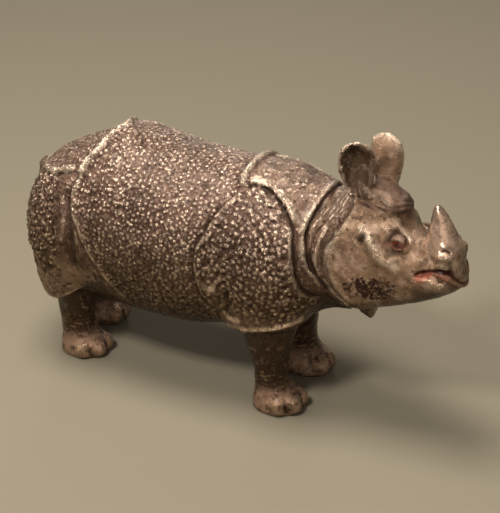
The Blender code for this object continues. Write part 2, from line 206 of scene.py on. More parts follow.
def read_rows(items: bpy.types.bpy_prop_collection, name: str) -> np.ndarray:
    """Reads a vector of each vertex of a mesh.

    Args:
        items: The mesh's vertices or normals.
        name: The vector's name.

    Returns:
        Rows of x, y, z.
    """
    rows = np.empty(len(items) * 3)
    items.foreach_get(name, rows)
    return rows.reshape(-1, 3)


def smooth_curve(rows: list, steps: int) -> np.ndarray:
    """Points on a Catmull-Rom curve through the rows.

    Args:
        rows: The points that it goes through.
        steps: How many points it has for each of them.

    Returns:
        The curve's points.
    """
    rows = np.array(rows, float)
    ends = np.vstack([2 * rows[0] - rows[1], rows, 2 * rows[-1] - rows[-2]])
    t = (np.arange(steps) / steps)[:, None]
    made = []
    for i in range(len(rows) - 1):
        a, b, c, d = ends[i : i + 4]
        made.append(
            0.5 * (2 * b + (c - a) * t + (2 * a - 5 * b + 4 * c - d) * t**2
                   + (3 * b - a - 3 * c + d) * t**3)
        )
    return np.vstack([*made, rows[-1:]])


@dataclass(frozen=True)
class Fold:
    """A fold of the hide, with the plate that overlaps on the curve's left.

    Points are (distance along, angle from straight up) about the trunk or the head, or
    (x, y, z) near the skin, on the right side. Each fold is on both sides. A roll is a ridge
    on the curve itself. Pale is how light the paint is on the lip or roll, partly rubbed paint
    and partly painted highlight, and dark is how strong the painted shade in the groove is.
    """

    points: tuple
    lip: float = 0.35
    lip_width: float = 1.1
    groove: float = 0.9
    groove_width: float = 0.9
    roll: float = 0.0
    pale: float = 0.5
    dark: float = 0.6
    across: bool = False
    valley: bool = False
    head: bool = False
    fade: float = 4.0


# Each fold's pale lightens its lip or roll, partly rubbed paint and partly painted highlight, and its dark
# lays painted shade in its groove.
FOLDS = {
    "hip": Fold(((-31, 0), (-33.5, 9), (-34.7, 19), (-37.1, 26), (-39.4, 34), (-40.8, 44), (-42.3, 52),
                 (-41.8, 61), (-39.5, 70), (-36.8, 79), (-34, 90), (-30.7, 99), (-26.6, 109), (-23, 118),
                 (-19, 129), (-15, 141)), 0.55, 1.5, 0.6, 1.5, pale=0.45, dark=0.3, across=True, fade=9),
    "hip crest": Fold(((-31, 0), (-33.5, 9), (-34.7, 19), (-37.1, 26), (-39.4, 34), (-40.4, 40)),
                      0, 1.9, 0, 1, roll=0.75, pale=1.0, dark=0, across=True, fade=3),
    "rump": Fold(((-71, 12), (-66, 26), (-59, 36), (-54.4, 39), (-48.8, 37), (-42.5, 36)),
                 0.1, 1.8, 0.6, 2.0, roll=0.8, pale=0.6, dark=0.45),
    "flank": Fold(((-43.6, 48), (-43.8, 56), (-42.2, 73), (-41, 93), (-40.5, 107), (-40, 118)),
                  0, 1, 0.4, 1.4, pale=0, dark=0.5, valley=True, fade=6),
    "buttock": Fold(((-69.5, 130), (-67, 117), (-63, 108), (-58, 104), (-52, 101), (-47, 101)),
                    0.4, 1.4, 0.6, 1.3, pale=0.3, dark=0.5, fade=8),
    "thigh hem": Fold(((-61.5, -19, 30), (-57, -25, 29.5), (-49, -28, 30.5), (-42.5, -27.5, 34),
                       (-37.5, -25, 38.5), (-34, -22, 41)), 0.5, 1.0, 1.0, 1.1, pale=0.7),
    "cleft": Fold(((-71.5, -3.6, 72), (-72.5, -3.8, 64), (-72, -4.0, 54), (-69, -4.0, 44), (-62, -4, 36)),
                  0, 1, 0.9, 0.9, pale=0, valley=True),
    "cross": Fold(((28, 0), (28, 10), (28.3, 18), (30.5, 25)), 0, 1.6, 0, 1, roll=0.9, pale=1.0, dark=0,
                  across=True, fade=3),
    "withers": Fold(((29.6, 19), (34.1, 19.5), (39.2, 20.5), (44, 24), (48.3, 28.5), (51.2, 33.5),
                     (53.6, 40)), 0.5, 2.3, 0.7, 1.5, pale=0.85, dark=0.35, fade=3),
    "shield front": Fold(((64.5, 107), (60.5, 99), (58, 87), (57, 75), (55.9, 63), (54.6, 50),
                          (53.0, 40), (50.9, 35)), 0.35, 1.4, 0.7, 1.3, pale=0.3, dark=0.5),
    "shield rear": Fold(((29.8, 25), (25.7, 35), (22.7, 43), (20.8, 51), (18.9, 60), (16.8, 67),
                         (16.1, 77), (16.6, 88), (18.3, 99), (20, 108), (23.1, 116.5), (27.1, 117),
                         (30.2, 111)), 0.5, 1.7, 0.4, 1.5, pale=0.2, dark=0.15, fade=5),
    "sleeve rear": Fold(((31.8, 103), (31.0, 111), (28.6, 119), (26.8, 129)), 0.3, 1.2, 0.7, 1.0, pale=0.3),
    "sleeve hem": Fold(((26.5, -24, 35.5), (31, -28, 36.5), (42, -30, 38.5), (51, -29, 41.2),
                        (57.5, -25, 44.2), (60.5, -19, 46)), 0.95, 1.5, 0.8, 1.2, pale=0.8, fade=3),
    "collar": Fold(((67.6, 95), (64.8, 77), (61.3, 64), (59.5, 53), (58.3, 43), (58.0, 36), (58.4, 29),
                    (59.6, 17), (60.2, 8), (60.4, 0)),
                   0.5, 1.6, 0.8, 1.5, pale=0.5, dark=0.5, across=True, fade=5),
    "cheek": Fold(((75, 17), (73.6, 24), (71.2, 33), (69.3, 41), (68.2, 50), (68.7, 62), (70.7, 74),
                   (73.0, 83), (76.8, 91), (81.2, 98)), 0.5, 1.8, 0.8, 1.5, pale=0.35, dark=0.5),
    "forehead": Fold(((13.7, -10.5, 99.7), (16.3, -10.2, 97.0), (20.5, -9.5, 95.2), (24.9, -9.4, 95.5),
                      (29.3, -8.1, 96.1), (32.2, -5.7, 96.1), (33.9, -1.5, 94.1), (34.3, 0, 93.2)),
                     0, 1.2, 0.3, 2.6, pale=0, dark=0.55, across=True, valley=True, head=True, fade=6),
    "mouth": Fold(((42.7, -11.0, 75.1), (46.2, -9.4, 77.1), (49.6, -9.3, 78.8), (52.6, -9.0, 79.8),
                   (55.0, -7.7, 79.9), (56.4, -6.3, 79.4), (57.6, -4.9, 77.8), (58.6, -3.4, 75.6),
                   (59.2, -1.8, 74.2), (59.4, 0, 73.6)),
                  0.3, 1.0, 1.3, 0.8, pale=0, dark=0.4, across=True, valley=True, head=True, fade=3),
}


@dataclass(frozen=True)
class Mark:
    """A ridge, crease, bump or dent along points near the skin.

    Its tone runs from -1, where the paint is dark, to 1, where it is pale. Pale is mostly a
    painted highlight on a ridge, and dark mostly painted shade in a crease or dent, with some
    of the paint's own light and dark in both. Left is how strong it is on the left side.
    """

    points: tuple
    width: float
    rise: float
    tone: float = 0.0
    left: float = 1.0
    sides: tuple[int, ...] = (-1, 1)


# The tones of the face marks are mostly painted highlights on ridges and painted shade in creases, dents and
# the nostril, laid with their relief.
FACE_MARKS = (
    Mark(((21.5, 13.5, 91), (25.4, 14.8, 86.5), (28.4, 15, 83.5), (32, 14.4, 79.8), (36, 12.5, 77.3),
          (40, 11.5, 76.6)), 2.7, 0.9, 0.5),
    Mark(((27.5, 12, 90), (29.8, 13, 86), (32.3, 12.7, 82.5), (34.5, 12, 80.4)), 1.7, -0.55, -0.4),
    Mark(((30, 9.5, 92), (31.4, 11.5, 87.6), (32.6, 12.2, 84), (35, 12.2, 81.4)), 1.4, 0.47, 0.17),
    Mark(((32.2, 8.2, 91.4), (35, 7.4, 91.2), (38, 6.6, 89.8), (40.8, 6.4, 87.8)),
         1.8, 0.75, 0.6, left=-0.4),
    Mark(((33.2, 12.2, 84.6), (35, 12.8, 82.9), (37.6, 12.9, 82.4), (40, 12.0, 83.4)), 1.4, -0.51, -0.68),
    Mark(((34.4, 12.4, 81.6), (37.2, 12.6, 80.8), (40, 11.8, 81.6)), 1.4, 0.3, 0.075),
    Mark(((21.8, 14, 89.6),), 2.1, 0.7, 0.8),
    Mark(((25.6, 14.6, 87.0),), 1.7, 0.6, 0.75),
    Mark(((23.4, 14.6, 87.4), (22.2, 14.6, 85.4)), 1.8, -0.59, -0.85),
    Mark(((42, 7.4, 86.4), (44, 7.0, 85.4)), 2.8, -0.26, -0.5),
    Mark(((12.1, 14, 86.2), (9.5, 16.4, 79.9), (9.5, 17.4, 74.7), (11.6, 19.0, 71)), 1.8, 0.3, 0.7),
    Mark(((49.5, 7.6, 85), (47.9, 8.4, 82.3), (45.5, 9.8, 79.6), (43, 10.9, 77.4)), 1.4, -0.42, -0.27),
    Mark(((46.4, 7.2, 85.6), (45.2, 8.6, 82.6), (43.4, 10.0, 79.6)), 1.7, 0.38, 0.17),
    Mark(((52.2, 6.6, 87.3), (53.2, 5.9, 87.7), (54.3, 5.2, 87.4), (55.5, 4.6, 86.6)), 0.6, -0.9, -0.9),
    Mark(((51.4, 6.4, 88.6), (52.7, 5.6, 89.0), (54.0, 4.7, 88.5)), 0.75, 0.5, 0.7),
    Mark(((52.8, 8.2, 85.4), (54.4, 7.6, 85.2), (55.6, 6.5, 85.6)), 0.75, 0.5, 0.3),
    Mark(((55.4, 5.8, 84.6), (56.8, 5.6, 81.6), (57.4, 5.2, 79.4)), 1.3, -0.42, -0.45),
    Mark(((53.8, 7.2, 82.6), (54.8, 7.4, 80.6)), 1.8, 0.42, 0.5),
    Mark(((49.8, 9.6, 74.0), (53.4, 8.6, 73.4)), 3.1, 0.68, 0.28),
    Mark(((44.5, 10.7, 72.8), (47, 10.6, 71.8), (49, 10, 70.6)), 1.5, -0.38, -0.45),
    Mark(((40.6, 11.4, 75.2), (41.4, 11.2, 73.2), (43, 10.9, 71.5)), 1.4, -0.34, -0.45),
    Mark(((31, 13.4, 68), (37, 12.2, 67.4), (43, 10.2, 67.6)), 1.4, -0.26, -0.27),
    Mark(((57.0, 5.0, 85.5), (58.6, 4.2, 82.0), (59.0, 3.6, 79.5)), 2.0, 0.15, 0.5),
    Mark(((57.0, 3.0, 88.5),), 1.8, 0.2, 0.4),
)

# Pale body marks are painted highlights; dark ones are mostly painted shade in creases and dents.
BODY_MARKS = (
    Mark(((20.5, 31, 58), (23.5, 30.5, 55), (26, 29.8, 54)), 2.4, 0.5, 0.9),
    Mark(((30, 29.5, 56), (29.4, 29.2, 53.5), (28.6, 28.4, 50.5)), 1.1, -0.9, -0.9),
    Mark(((25.8, 26, 44.5), (27.5, 26.5, 42.5), (31, 28, 42), (36, 29, 44)), 1.6, 0.5, 0.85),
    Mark(((-49.0, 26.0, 75.4),), 0.9, -0.4, -0.9),
    Mark(((-48.5, 28.2, 68.4),), 1.1, -0.4, -0.9),
    Mark(((-49.6, 28.5, 62.5),), 0.8, -0.4, -0.8),
    Mark(((-45.8, 28.0, 57.5),), 0.9, -0.4, -0.8),
    Mark(((-70.5, 6, 88), (-68.5, 9, 86)), 1.9, 0.8, 0.9),
    Mark(((-71.5, 8, 83), (-69, 12, 81.5)), 1.8, -0.5, -0.7),
)

FEET = ((44.6, -16.0), (42.6, 15.4), (-47.8, -14.8), (-55.0, 11.8))
TOES_OUT = 23

WITHERS_EDGE = ((29.6, 19), (34, 19.5), (39, 20.5), (44, 24), (48, 28.5), (51, 33.5), (53.6, 40), (60, 48))
THIGH_HEM = ((-70, 30), (-57, 29.5), (-49, 30.5), (-42.5, 34), (-37.5, 38.5), (-30, 43))
SLEEVE_HEM = ((20, 36), (26.5, 38), (42, 40), (51, 42.5), (60.5, 46.5))
BROW = ((6, 97), (13.7, 99.7), (16.3, 97.0), (20.5, 95.2), (24.9, 95.5), (29.3, 96.1), (32.2, 96.1),
        (33.9, 94.1), (34.7, 91.8), (37, 95))
CHEEK_LOSS = (28.0, 67.0)
HORN = 49.2


def foot_marks() -> list[Mark]:
    """The clefts between the toes, with painted shade in them, and painted highlights on the toes.

    Returns:
        The marks of all four feet.
    """
    made = []
    for x, y in FEET:
        side = -1 if y < 0 else 1
        # Negative tones paint shade into the clefts; positive ones paint highlights on the toes.
        for turn, tone in ((-25, -0.4), (25, -0.4), (0, 0.4), (-50, 0.35), (50, 0.4)):
            cleft = tone < 0
            width, rise, out = (0.9, -1.0, 10.6) if cleft else (2.4, 0.5, 12.0)
            heights = (0.3, 2.4, 4.6, 6.4) if cleft else (3.0, 5.5)
            a = math.radians(turn + side * TOES_OUT)
            px, py = x + 2.2 + out * math.cos(a), abs(y + (out - 1) * math.sin(a))
            points = tuple((px - 0.25 * z, py, z) for z in heights)
            made.append(Mark(points, width, rise, tone, sides=(side,)))
    return made


class Skin:
    """The figure's skin as arrays, in the tables' millimetres."""

    def __init__(self, mesh: bpy.types.Mesh) -> None:
        """Reads the mesh.

        Args:
            mesh: The skin to be worked.
        """
        self.mesh = mesh
        self.at = read_rows(mesh.vertices, "co") / MM - SHIFT
        self.normals = read_rows(mesh.vertex_normals, "vector")
        edges = np.empty(len(mesh.edges) * 2, int)
        mesh.edges.foreach_get("vertices", edges)
        self.edges = edges.reshape(-1, 2)
        self.degree = np.maximum(np.bincount(edges, minlength=len(self.at)), 1)
        faces = [tuple(p.vertices) for p in mesh.polygons]
        self.tree = BVHTree.FromPolygons([tuple(p) for p in self.at], faces)
        self.on_head = to_head(self.at)
        self.angle = np.degrees(np.arctan2(np.abs(self.at[:, 1]), self.at[:, 2] - TRUNK_AXIS))

    def spread(self, values: np.ndarray, rounds: int) -> np.ndarray:
        """Values averaged with their neighbours'.

        Args:
            values: One value, or one row, for each vertex.
            rounds: How many times.

        Returns:
            The softened values.
        """
        a, b = self.edges.T
        made = []
        for column in values.reshape(len(values), -1).T:
            for _ in range(rounds):
                total = np.bincount(a, column[b], len(column)) + np.bincount(b, column[a], len(column))
                column = 0.5 * column + 0.5 * total / self.degree
            made.append(column)
        return np.array(made).T.reshape(values.shape)

    def on_skin(self, along: float, angle: float, side: int) -> np.ndarray:
        """The point where a line from the trunk's axis leaves the skin.

        Args:
            along: Distance along the trunk.
            angle: Degrees from straight up.
            side: -1 for the right side, 1 for the left.

        Returns:
            The point.
        """
        a = math.radians(angle)
        inner = Vector((along, 0, TRUNK_AXIS))
        outer = Vector((along, side * OUTSIDE * math.sin(a), TRUNK_AXIS + OUTSIDE * math.cos(a)))
        hit = self.tree.ray_cast(outer, inner - outer)[0]
        return np.array(hit if hit is not None else inner)

    def nearest_to(self, place: tuple[float, float, float]) -> np.ndarray:
        """The point of the skin nearest to a place."""
        return np.array(self.tree.find_nearest(Vector(place))[0])

    def raise_by(self, height: np.ndarray) -> None:
        """Moves the skin outwards along its normals, by a height for each vertex."""
        self.move_to(self.at + self.normals * height[:, None])

    def move_to(self, places: np.ndarray) -> None:
        """Moves the skin to new places, and takes its normals there.

        Args:
            places: One row for each vertex.
        """
        self.at = places
        self.write()
        self.normals = read_rows(self.mesh.vertex_normals, "vector")

    def write(self) -> None:
        """Puts the skin's places on the mesh."""
        self.mesh.vertices.foreach_set("co", ((self.at + SHIFT) * MM).ravel())
        self.mesh.update()


@dataclass
class Plates:
    """The plates of the hide, each a soft mask bounded by the folds."""

    skin: Skin
    gap: float = 0.6
    soft: float = 0.9

    def inside(self, distance: np.ndarray, gap: float | None = None) -> np.ndarray:
        """0 nearer to a plate's edge than the gap, and 1 further inside."""
        gap = self.gap if gap is None else gap
        return ramp(distance, gap, gap + self.soft)

    def edge(self, name: str) -> np.ndarray:
        """The x of a fold at each vertex's angle."""
        return on_line(self.skin.angle, sorted((p[1], p[0]) for p in FOLDS[name].points))

    def after(self, name: str) -> np.ndarray:
        """1 in front of a fold, 0 behind it."""
        return self.inside(self.skin.at[:, 0] - self.edge(name))

    def before(self, name: str, gap: float | None = None) -> np.ndarray:
        """1 behind a fold, 0 in front of it."""
        return self.inside(self.edge(name) - self.skin.at[:, 0], gap)

    def above(self, hem: tuple) -> np.ndarray:
        """1 above a hem given as x and z, 0 below it."""
        return self.inside(self.skin.at[:, 2] - on_line(self.skin.at[:, 0], hem))

    def masks(self) -> dict[str, np.ndarray]:
        """Works out every plate.

        Returns:
            The masks by name, from 0 outside a plate to 1 inside it.
        """
        x, _, z = self.skin.at.T
        angle = self.skin.angle
        along, side, height = self.skin.on_head.T
        wide = ramp(angle - on_line(x, FOLDS["rump"].points), 1, 3)
        top = ramp(on_line(x, WITHERS_EDGE) - angle, 1, 3)
        thigh_hem, sleeve_hem = self.above(THIGH_HEM), self.above(SLEEVE_HEM)
        head = ramp(x - np.where(angle < 98, self.edge("cheek"), 81), 0.0, 1.0) * ramp(height, 46, 50)
        ears = ramp(height, 97.5, 99) * ramp(along, 3, 6) * ramp(30 - along, 0, 3)
        ears = ears * ramp(np.abs(side), 4, 5.5)
        crown = angle < 25
        barrel = self.after("hip") * (1 - ramp(x, 27, 28.5)) * np.where(crown, 1, self.before("shield rear"))
        shield = np.where(crown, ramp(x, 29, 31), self.after("shield rear"))
        shield = shield * self.before("shield front")
        shield = shield * (1 - top) * sleeve_hem * (1 - ramp(angle, 112, 124))
        thigh = self.before("flank", 7.0) * wide * thigh_hem * ramp(z, 30, 33)
        legs = np.clip(1 - ramp(z, 24, 30) + (1 - ramp(z, 26, 40)) * (np.abs(x - 8) > 18), 0, 1)
        apron = thigh_hem * (x < -30) * (1 - ramp(z, 46, 54))
        return {
            "barrel": barrel * (1 - ramp(angle, 128, 150)),
            "shield": shield * (1 - head),
            "withers": ramp(x, 29.5, 31) * self.before("collar") * top,
            "rump": self.before("hip") * (1 - wide) * ramp(z, 60, 64),
            "thigh": thigh * (0.35 + 0.65 * ramp(z, 44, 50)),
            "neck": self.after("collar") * (1 - head) * ramp(z, 42, 48),
            "head": head,
            "ears": np.maximum(ears, ramp(height, 103.6, 105)),
            "horn": ramp(height, 84.5, 86) * ramp(8.8 - np.hypot(along - HORN, side), 0, 1),
            "legs": legs * (1 - thigh_hem * (x < -30)) * (1 - sleeve_hem * (x > 20)),
            "apron": apron + 0.6 * sleeve_hem * (x > 20) * (x < 62) * (1 - ramp(z, 44, 52)),
        }


@dataclass
class Hide:
    """The hide of the figure: its skin, relief and the fields that the paint follows."""

    cell: float = 0.5
    triangles: int = 194000
    bead_gap: float = 1.95
    bead_height: float = 0.6
    knob_gap: float = 2.3
    knob_height: float = 0.68
    curve_step: float = 0.35
    skin: Skin = field(init=False)
    plates: dict[str, np.ndarray] = field(init=False)
    fields: dict[str, np.ndarray] = field(default_factory=dict)

    def build(self) -> bpy.types.Object:
        """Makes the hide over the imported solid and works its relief.

        Returns:
            The finished piece.
        """
        obj = self.finer_skin()
        self.skin = Skin(obj.data)
        for name in ("pale", "dark", "lips", "mouth"):
            self.fields[name] = np.zeros(len(self.skin.at))
        self.skin.raise_by(self.folds())
        self.plates = Plates(self.skin).masks()
        self.calm_ears()
        self.skin.raise_by(self.beads() + self.wrinkles() + self.marks() + self.horn_and_ears())
        self.lids(Lid())
        self.settle()
        self.keep_fields()
        self.thin(obj)
        self.keep_inside(obj)
        return obj

    def finer_skin(self) -> bpy.types.Object:
        """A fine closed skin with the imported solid's form.

        Returns:
            The object, which replaces the solid.
        """
        bpy.ops.object.select_all(action="DESELECT")
        obj = bpy.data.objects.new("hide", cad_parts["rhinoceros"].data.copy())
        bpy.context.scene.collection.objects.link(obj)
        obj.select_set(True)
        bpy.context.view_layer.objects.active = obj
        bpy.ops.object.mode_set(mode="EDIT")
        bpy.ops.mesh.select_all(action="SELECT")
        bpy.ops.mesh.remove_doubles(threshold=0.00001)
        bpy.ops.object.mode_set(mode="OBJECT")
        obj.data.materials.clear()
        soft = obj.modifiers.new("soft", "SUBSURF")
        soft.levels = soft.render_levels = 2
        even = obj.modifiers.new("even", "REMESH")
        even.mode = "VOXEL"
        even.voxel_size = self.cell * MM
        calm = obj.modifiers.new("calm", "SMOOTH")
        calm.factor, calm.iterations = 0.5, 7
        for name in ("soft", "even", "calm"):
            bpy.ops.object.modifier_apply(modifier=name)
        bpy.ops.object.shade_smooth()
        return obj

    def raise_field(self, name: str, near: np.ndarray, values: np.ndarray) -> None:
        """Raises a field of the paint to the values, where it is lower."""
        self.fields[name][near] = np.maximum(self.fields[name][near], values)

    def along_curve(self, points: list, reach: float) -> tuple[np.ndarray, ...]:
        """Measures the skin near a curve.

        Args:
            points: The curve's points.
            reach: How far from the curve it is measured.

        Returns:
            The vertices near it, their distance, their distance to its left, and their
            distance from its nearer end.
        """
        skin = self.skin
        curve = smooth_curve(points, 24) if len(points) > 1 else np.array([points[0], points[0]], float)
        run = np.concatenate([[0], np.cumsum(np.linalg.norm(np.diff(curve, axis=0), axis=1))])
        if run[-1] > 0.8:
            steps = np.arange(0, run[-1], self.curve_step)
            curve = np.stack([np.interp(steps, run, curve[:, k]) for k in range(3)], axis=1)
        tree = search_tree(curve)
        inside = (skin.at > curve.min(0) - reach) & (skin.at < curve.max(0) + reach)
        near = np.flatnonzero(np.all(inside, axis=1))
        found = [tree.find(p) for p in skin.at[near]]
        nearest = np.array([f[1] for f in found], int)
        distance = np.array([f[2] for f in found])
        tangent = np.gradient(curve, axis=0)
        tangent /= np.maximum(np.linalg.norm(tangent, axis=1), 1e-9)[:, None]
        across = np.cross(tangent[nearest], skin.normals[near])
        across /= np.maximum(np.linalg.norm(across, axis=1), 1e-9)[:, None]
        signed = ((skin.at[near] - curve[nearest]) * across).sum(1)
        ends = np.minimum(nearest, len(curve) - 1 - nearest) * self.curve_step
        return near, distance, signed, ends

    def folds(self) -> np.ndarray:
        """The folds, each with a lip, a narrow groove or a roll.

        Returns:
            Height for each vertex.
        """
        at = self.skin.at
        moved = np.zeros(len(at))
        waver = rough(at, 5.0, 31) + 0.25 * rough(at, 2.6, 32)
        for name, fold in FOLDS.items():
            best = np.zeros(len(at))
            for points, hand in self.fold_paths(fold):
                reach = 3.0 * max(fold.lip_width, fold.groove_width, 1.2)
                near, distance, signed, ends = self.along_curve(points, reach)
                drift = waver[near]
                signed = signed * hand + (0 if name == "mouth" else 0.7) * drift
                distance = np.maximum(distance + 0.3 * drift, 0)
                strength = ramp(ends, 0, fold.fade)
                under = 1 / (1 + np.exp(-np.clip(signed / 0.3, -40, 40)))
                under = np.ones_like(signed) if fold.valley else under
                height = fold.lip * hump(distance, fold.lip_width) * (1 - under)
                height -= fold.groove * hump(distance, fold.groove_width) * under
                height = (height + fold.roll * hump(distance, fold.lip_width)) * strength
                better = np.abs(height) > np.abs(best[near])
                best[near[better]] = height[better]
                # Pale on the lip or roll is partly rubbed paint and partly painted highlight; the dark is
                # painted shade in the groove.
                rubbed = hump(signed + (0 if fold.roll else 0.7 * fold.lip_width), fold.lip_width)
                rubbed = rubbed * (distance < 2.5 * fold.lip_width) * strength * fold.pale
                shade = strength * hump(distance, 1.1 * fold.groove_width) * under * fold.dark
                self.raise_field("pale", near, rubbed * (0.45 + 0.8 * ramp(-drift, -0.3, 0.4)))
                self.raise_field("dark", near, shade * (0.35 + 0.9 * ramp(drift, -0.3, 0.4)))
                if name == "mouth":
                    self.mouth(near, distance, signed, ends, strength)
            moved += best
        return moved

    def mouth(self, near: np.ndarray, distance: np.ndarray, signed: np.ndarray, ends: np.ndarray,
              strength: np.ndarray) -> None:
        """Opens the mouth in the paint, with the lower lip red below it.

        Args:
            near: The vertices near the line of the mouth.
            distance: Their distance from it.
            signed: Their distance below it.
            ends: Their distance from its corner.
            strength: How strong the line is there.
        """
        shut = ramp(ends, 16, 19)
        open_by = 0.5 + 1.2 * ramp(ends, 6, 13) * (1 - shut)
        gap = strength * (1 - ramp(distance, 0.5 * open_by, 1.0 * open_by)) * (1 - 0.5 * shut)
        fall = signed + 1.7 * hump(ends - 9.0, 3.0)
        lips = ramp(signed, -0.4, 0.1) * (1 - ramp(fall, 2.6, 3.6)) * (distance < 5)
        self.fields["mouth"][near] = gap
        self.fields["lips"][near] = lips * ramp(ends, 0, 2) * (1 - 0.8 * shut)

    def fold_paths(self, fold: Fold) -> list:
        """The curves of a fold on the skin.

        Args:
            fold: The fold.

        Returns:
            Pairs of a curve's points and the side on which its plate is.
        """
        right, left = ([self.fold_point(fold, point, side) for point in fold.points] for side in (-1, 1))
        if not fold.across:
            return [(right, 1), (left, -1)]
        if fold.points[0][1] == 0:
            return [(left[::-1][:-1] + right, 1)]
        return [(right + left[::-1][1:], 1)]

    def fold_point(self, fold: Fold, point: tuple, side: int) -> np.ndarray:
        """The place on the skin of one point of a fold.

        Args:
            fold: The fold.
            point: The point as its table gives it.
            side: -1 for the right side, 1 for the left.

        Returns:
            The place.
        """
        if len(point) == 2:
            return self.skin.on_skin(*point, side)
        x, y, z = point
        return self.skin.nearest_to(from_head(x, -side * y, z) if fold.head else (x, -side * y, z))

    def marks(self) -> np.ndarray:
        """The ridges, creases and dents of the face, the body and the feet.

        Returns:
            Height for each vertex.
        """
        made = np.zeros(len(self.skin.at))
        for mark in (*FACE_MARKS, *BODY_MARKS, *foot_marks()):
            for side in mark.sides:
                places = [(x, side * y, z) for x, y, z in mark.points]
                if mark in FACE_MARKS:
                    places = [from_head(*place) for place in places]
                points = [self.skin.nearest_to(place) for place in places]
                near, distance, _, ends = self.along_curve(points, 2.6 * mark.width)
                strength = ramp(ends, -0.5, 1.2 * mark.width) if len(points) > 2 else 1.0
                strength = strength * (mark.left if side > 0 else 1.0)
                shape = hump(distance, mark.width) * strength
                made[near] += mark.rise * shape
                # Pale tones are mostly painted highlights on ridges, and dark tones mostly painted shade in
                # creases and dents.
                self.raise_field("pale" if mark.tone > 0 else "dark", near, abs(mark.tone) * shape)
        return made

    def seeds(self, gap: float, span: tuple[float, float], seed: int, jitter: float) -> KDTree:
        """Centres of beads in rough rows round the trunk.

        Args:
            gap: How far apart they are.
            span: The lowest and highest x.
            seed: Which pattern.
            jitter: How far each is moved from its row, as a share of the gap.

        Returns:
            The centres, ready to be searched.
        """
        chance = np.random.default_rng(seed)
        found = []
        step = math.degrees(gap / 34.0)
        for row, x in enumerate(np.arange(span[0], span[1], gap * 0.87)):
            for angle in np.arange(0, 360, step):
                a = angle + (row % 2) * step / 2 + chance.uniform(-1, 1) * jitter * step
                wave = 1.2 * math.sin(math.radians(a * 4 + row * 25))
                found.append(self.skin.on_skin(x + chance.uniform(-1, 1) * jitter * gap + wave, a, 1))
        return search_tree(found)

    def nearest(self, tree: KDTree, where: np.ndarray) -> tuple[np.ndarray, np.ndarray]:
        """Distance to the nearest centre, and which it is.

        Args:
            tree: The centres.
            where: The vertices to be measured.

        Returns:
            Distances and numbers, for every vertex, far away where it isn't measured.
        """
        distance = np.full(len(self.skin.at), 99.0)
        number = np.zeros(len(self.skin.at), int)
        for i in np.flatnonzero(where):
            _, number[i], distance[i] = tree.find(self.skin.at[i])
        return distance, number

    def beads(self) -> np.ndarray:
        """The beads, knobs and pits of the plates.

        Returns:
            Height for each vertex.
        """
        at = self.skin.at
        chance = np.random.default_rng(5)
        height, crest, pit = (np.zeros(len(at)) for _ in range(3))
        low = 1 - ramp(at[:, 2], 42, 72)
        torn = 0.6 * mottle(at, 1.5, 41) + 0.4 * mottle(at, 0.8, 42) - 0.5
        plan = (
            ("barrel", Relief.BEADED, self.bead_gap, self.bead_height, 0.3),
            ("shield", Relief.KNOBBED, self.knob_gap, self.knob_height, 0.32),
            ("rump", Relief.BEADED, 1.8, 0.4, 0.4),
            ("thigh", Relief.PITTED, 2.0, 0.75, 0.4),
            ("withers", Relief.SPARSE, 2.4, 0.35, 0.4),
        )
        tear = {Relief.BEADED: 0.15 + 1.25 * low, Relief.KNOBBED: 0.6 + 0.5 * low, Relief.PITTED: 1.3}
        share = {Relief.BEADED: 1 - 0.35 * low, Relief.KNOBBED: 0.9, Relief.PITTED: 0.75}
        for number, (name, relief, gap, size, jitter) in enumerate(plan):
            mask = self.plates[name]
            where = mask > 0.01
            xs = at[where][:, 0]
            tree = self.seeds(gap, (xs.min() - 3, xs.max() + 3), number + 1, jitter)
            distance, which = self.nearest(tree, where)
            vary = chance.uniform(0.45, 1.15, which.max() + 1)[which]
            wide = chance.uniform(0.4, 0.54, which.max() + 1)[which]
            dome = np.clip(1 - (distance / (wide * gap)) ** 2, 0, 1)
            if relief is Relief.SPARSE:
                dome = dome * (vary > 0.8)
                height += mask * (size * dome + 0.35 * torn)
                crest += mask * dome * 0.6
                continue
            height += mask * (size * share[relief] * (dome * vary - 0.35) + tear[relief] * torn)
            crest += mask * np.clip(dome * vary * share[relief] + 0.9 * tear[relief] * torn, 0, 1)
            if relief is not Relief.BEADED:
                hole = hump(distance, 0.34 * gap) * (vary < 0.55)
                height -= mask * 0.8 * hole
                pit = np.maximum(pit, mask * hole)
        apron = self.plates["apron"]
        spots = apron * ramp(mottle(at, 1.6, 44), 0.64, 0.74) * ramp(mottle(at, 8, 45), 0.3, 0.5)
        height += apron * 0.35 * torn - 0.4 * spots
        # Skin facing down gets painted shade and skin facing up gets painted light from these fields.
        broad = self.skin.spread(self.skin.normals, 12)[:, 2]
        self.fields["under"] = ramp(-broad, 0.15, 0.8)
        self.fields["top"] = ramp(broad, 0.35, 0.9)
        # The crests are painted pale, partly rubbed paint and partly painted highlight.
        self.fields["crest"] = np.clip(crest, 0, 1)
        self.fields["pit"] = np.maximum(pit, 0.9 * spots)
        return height

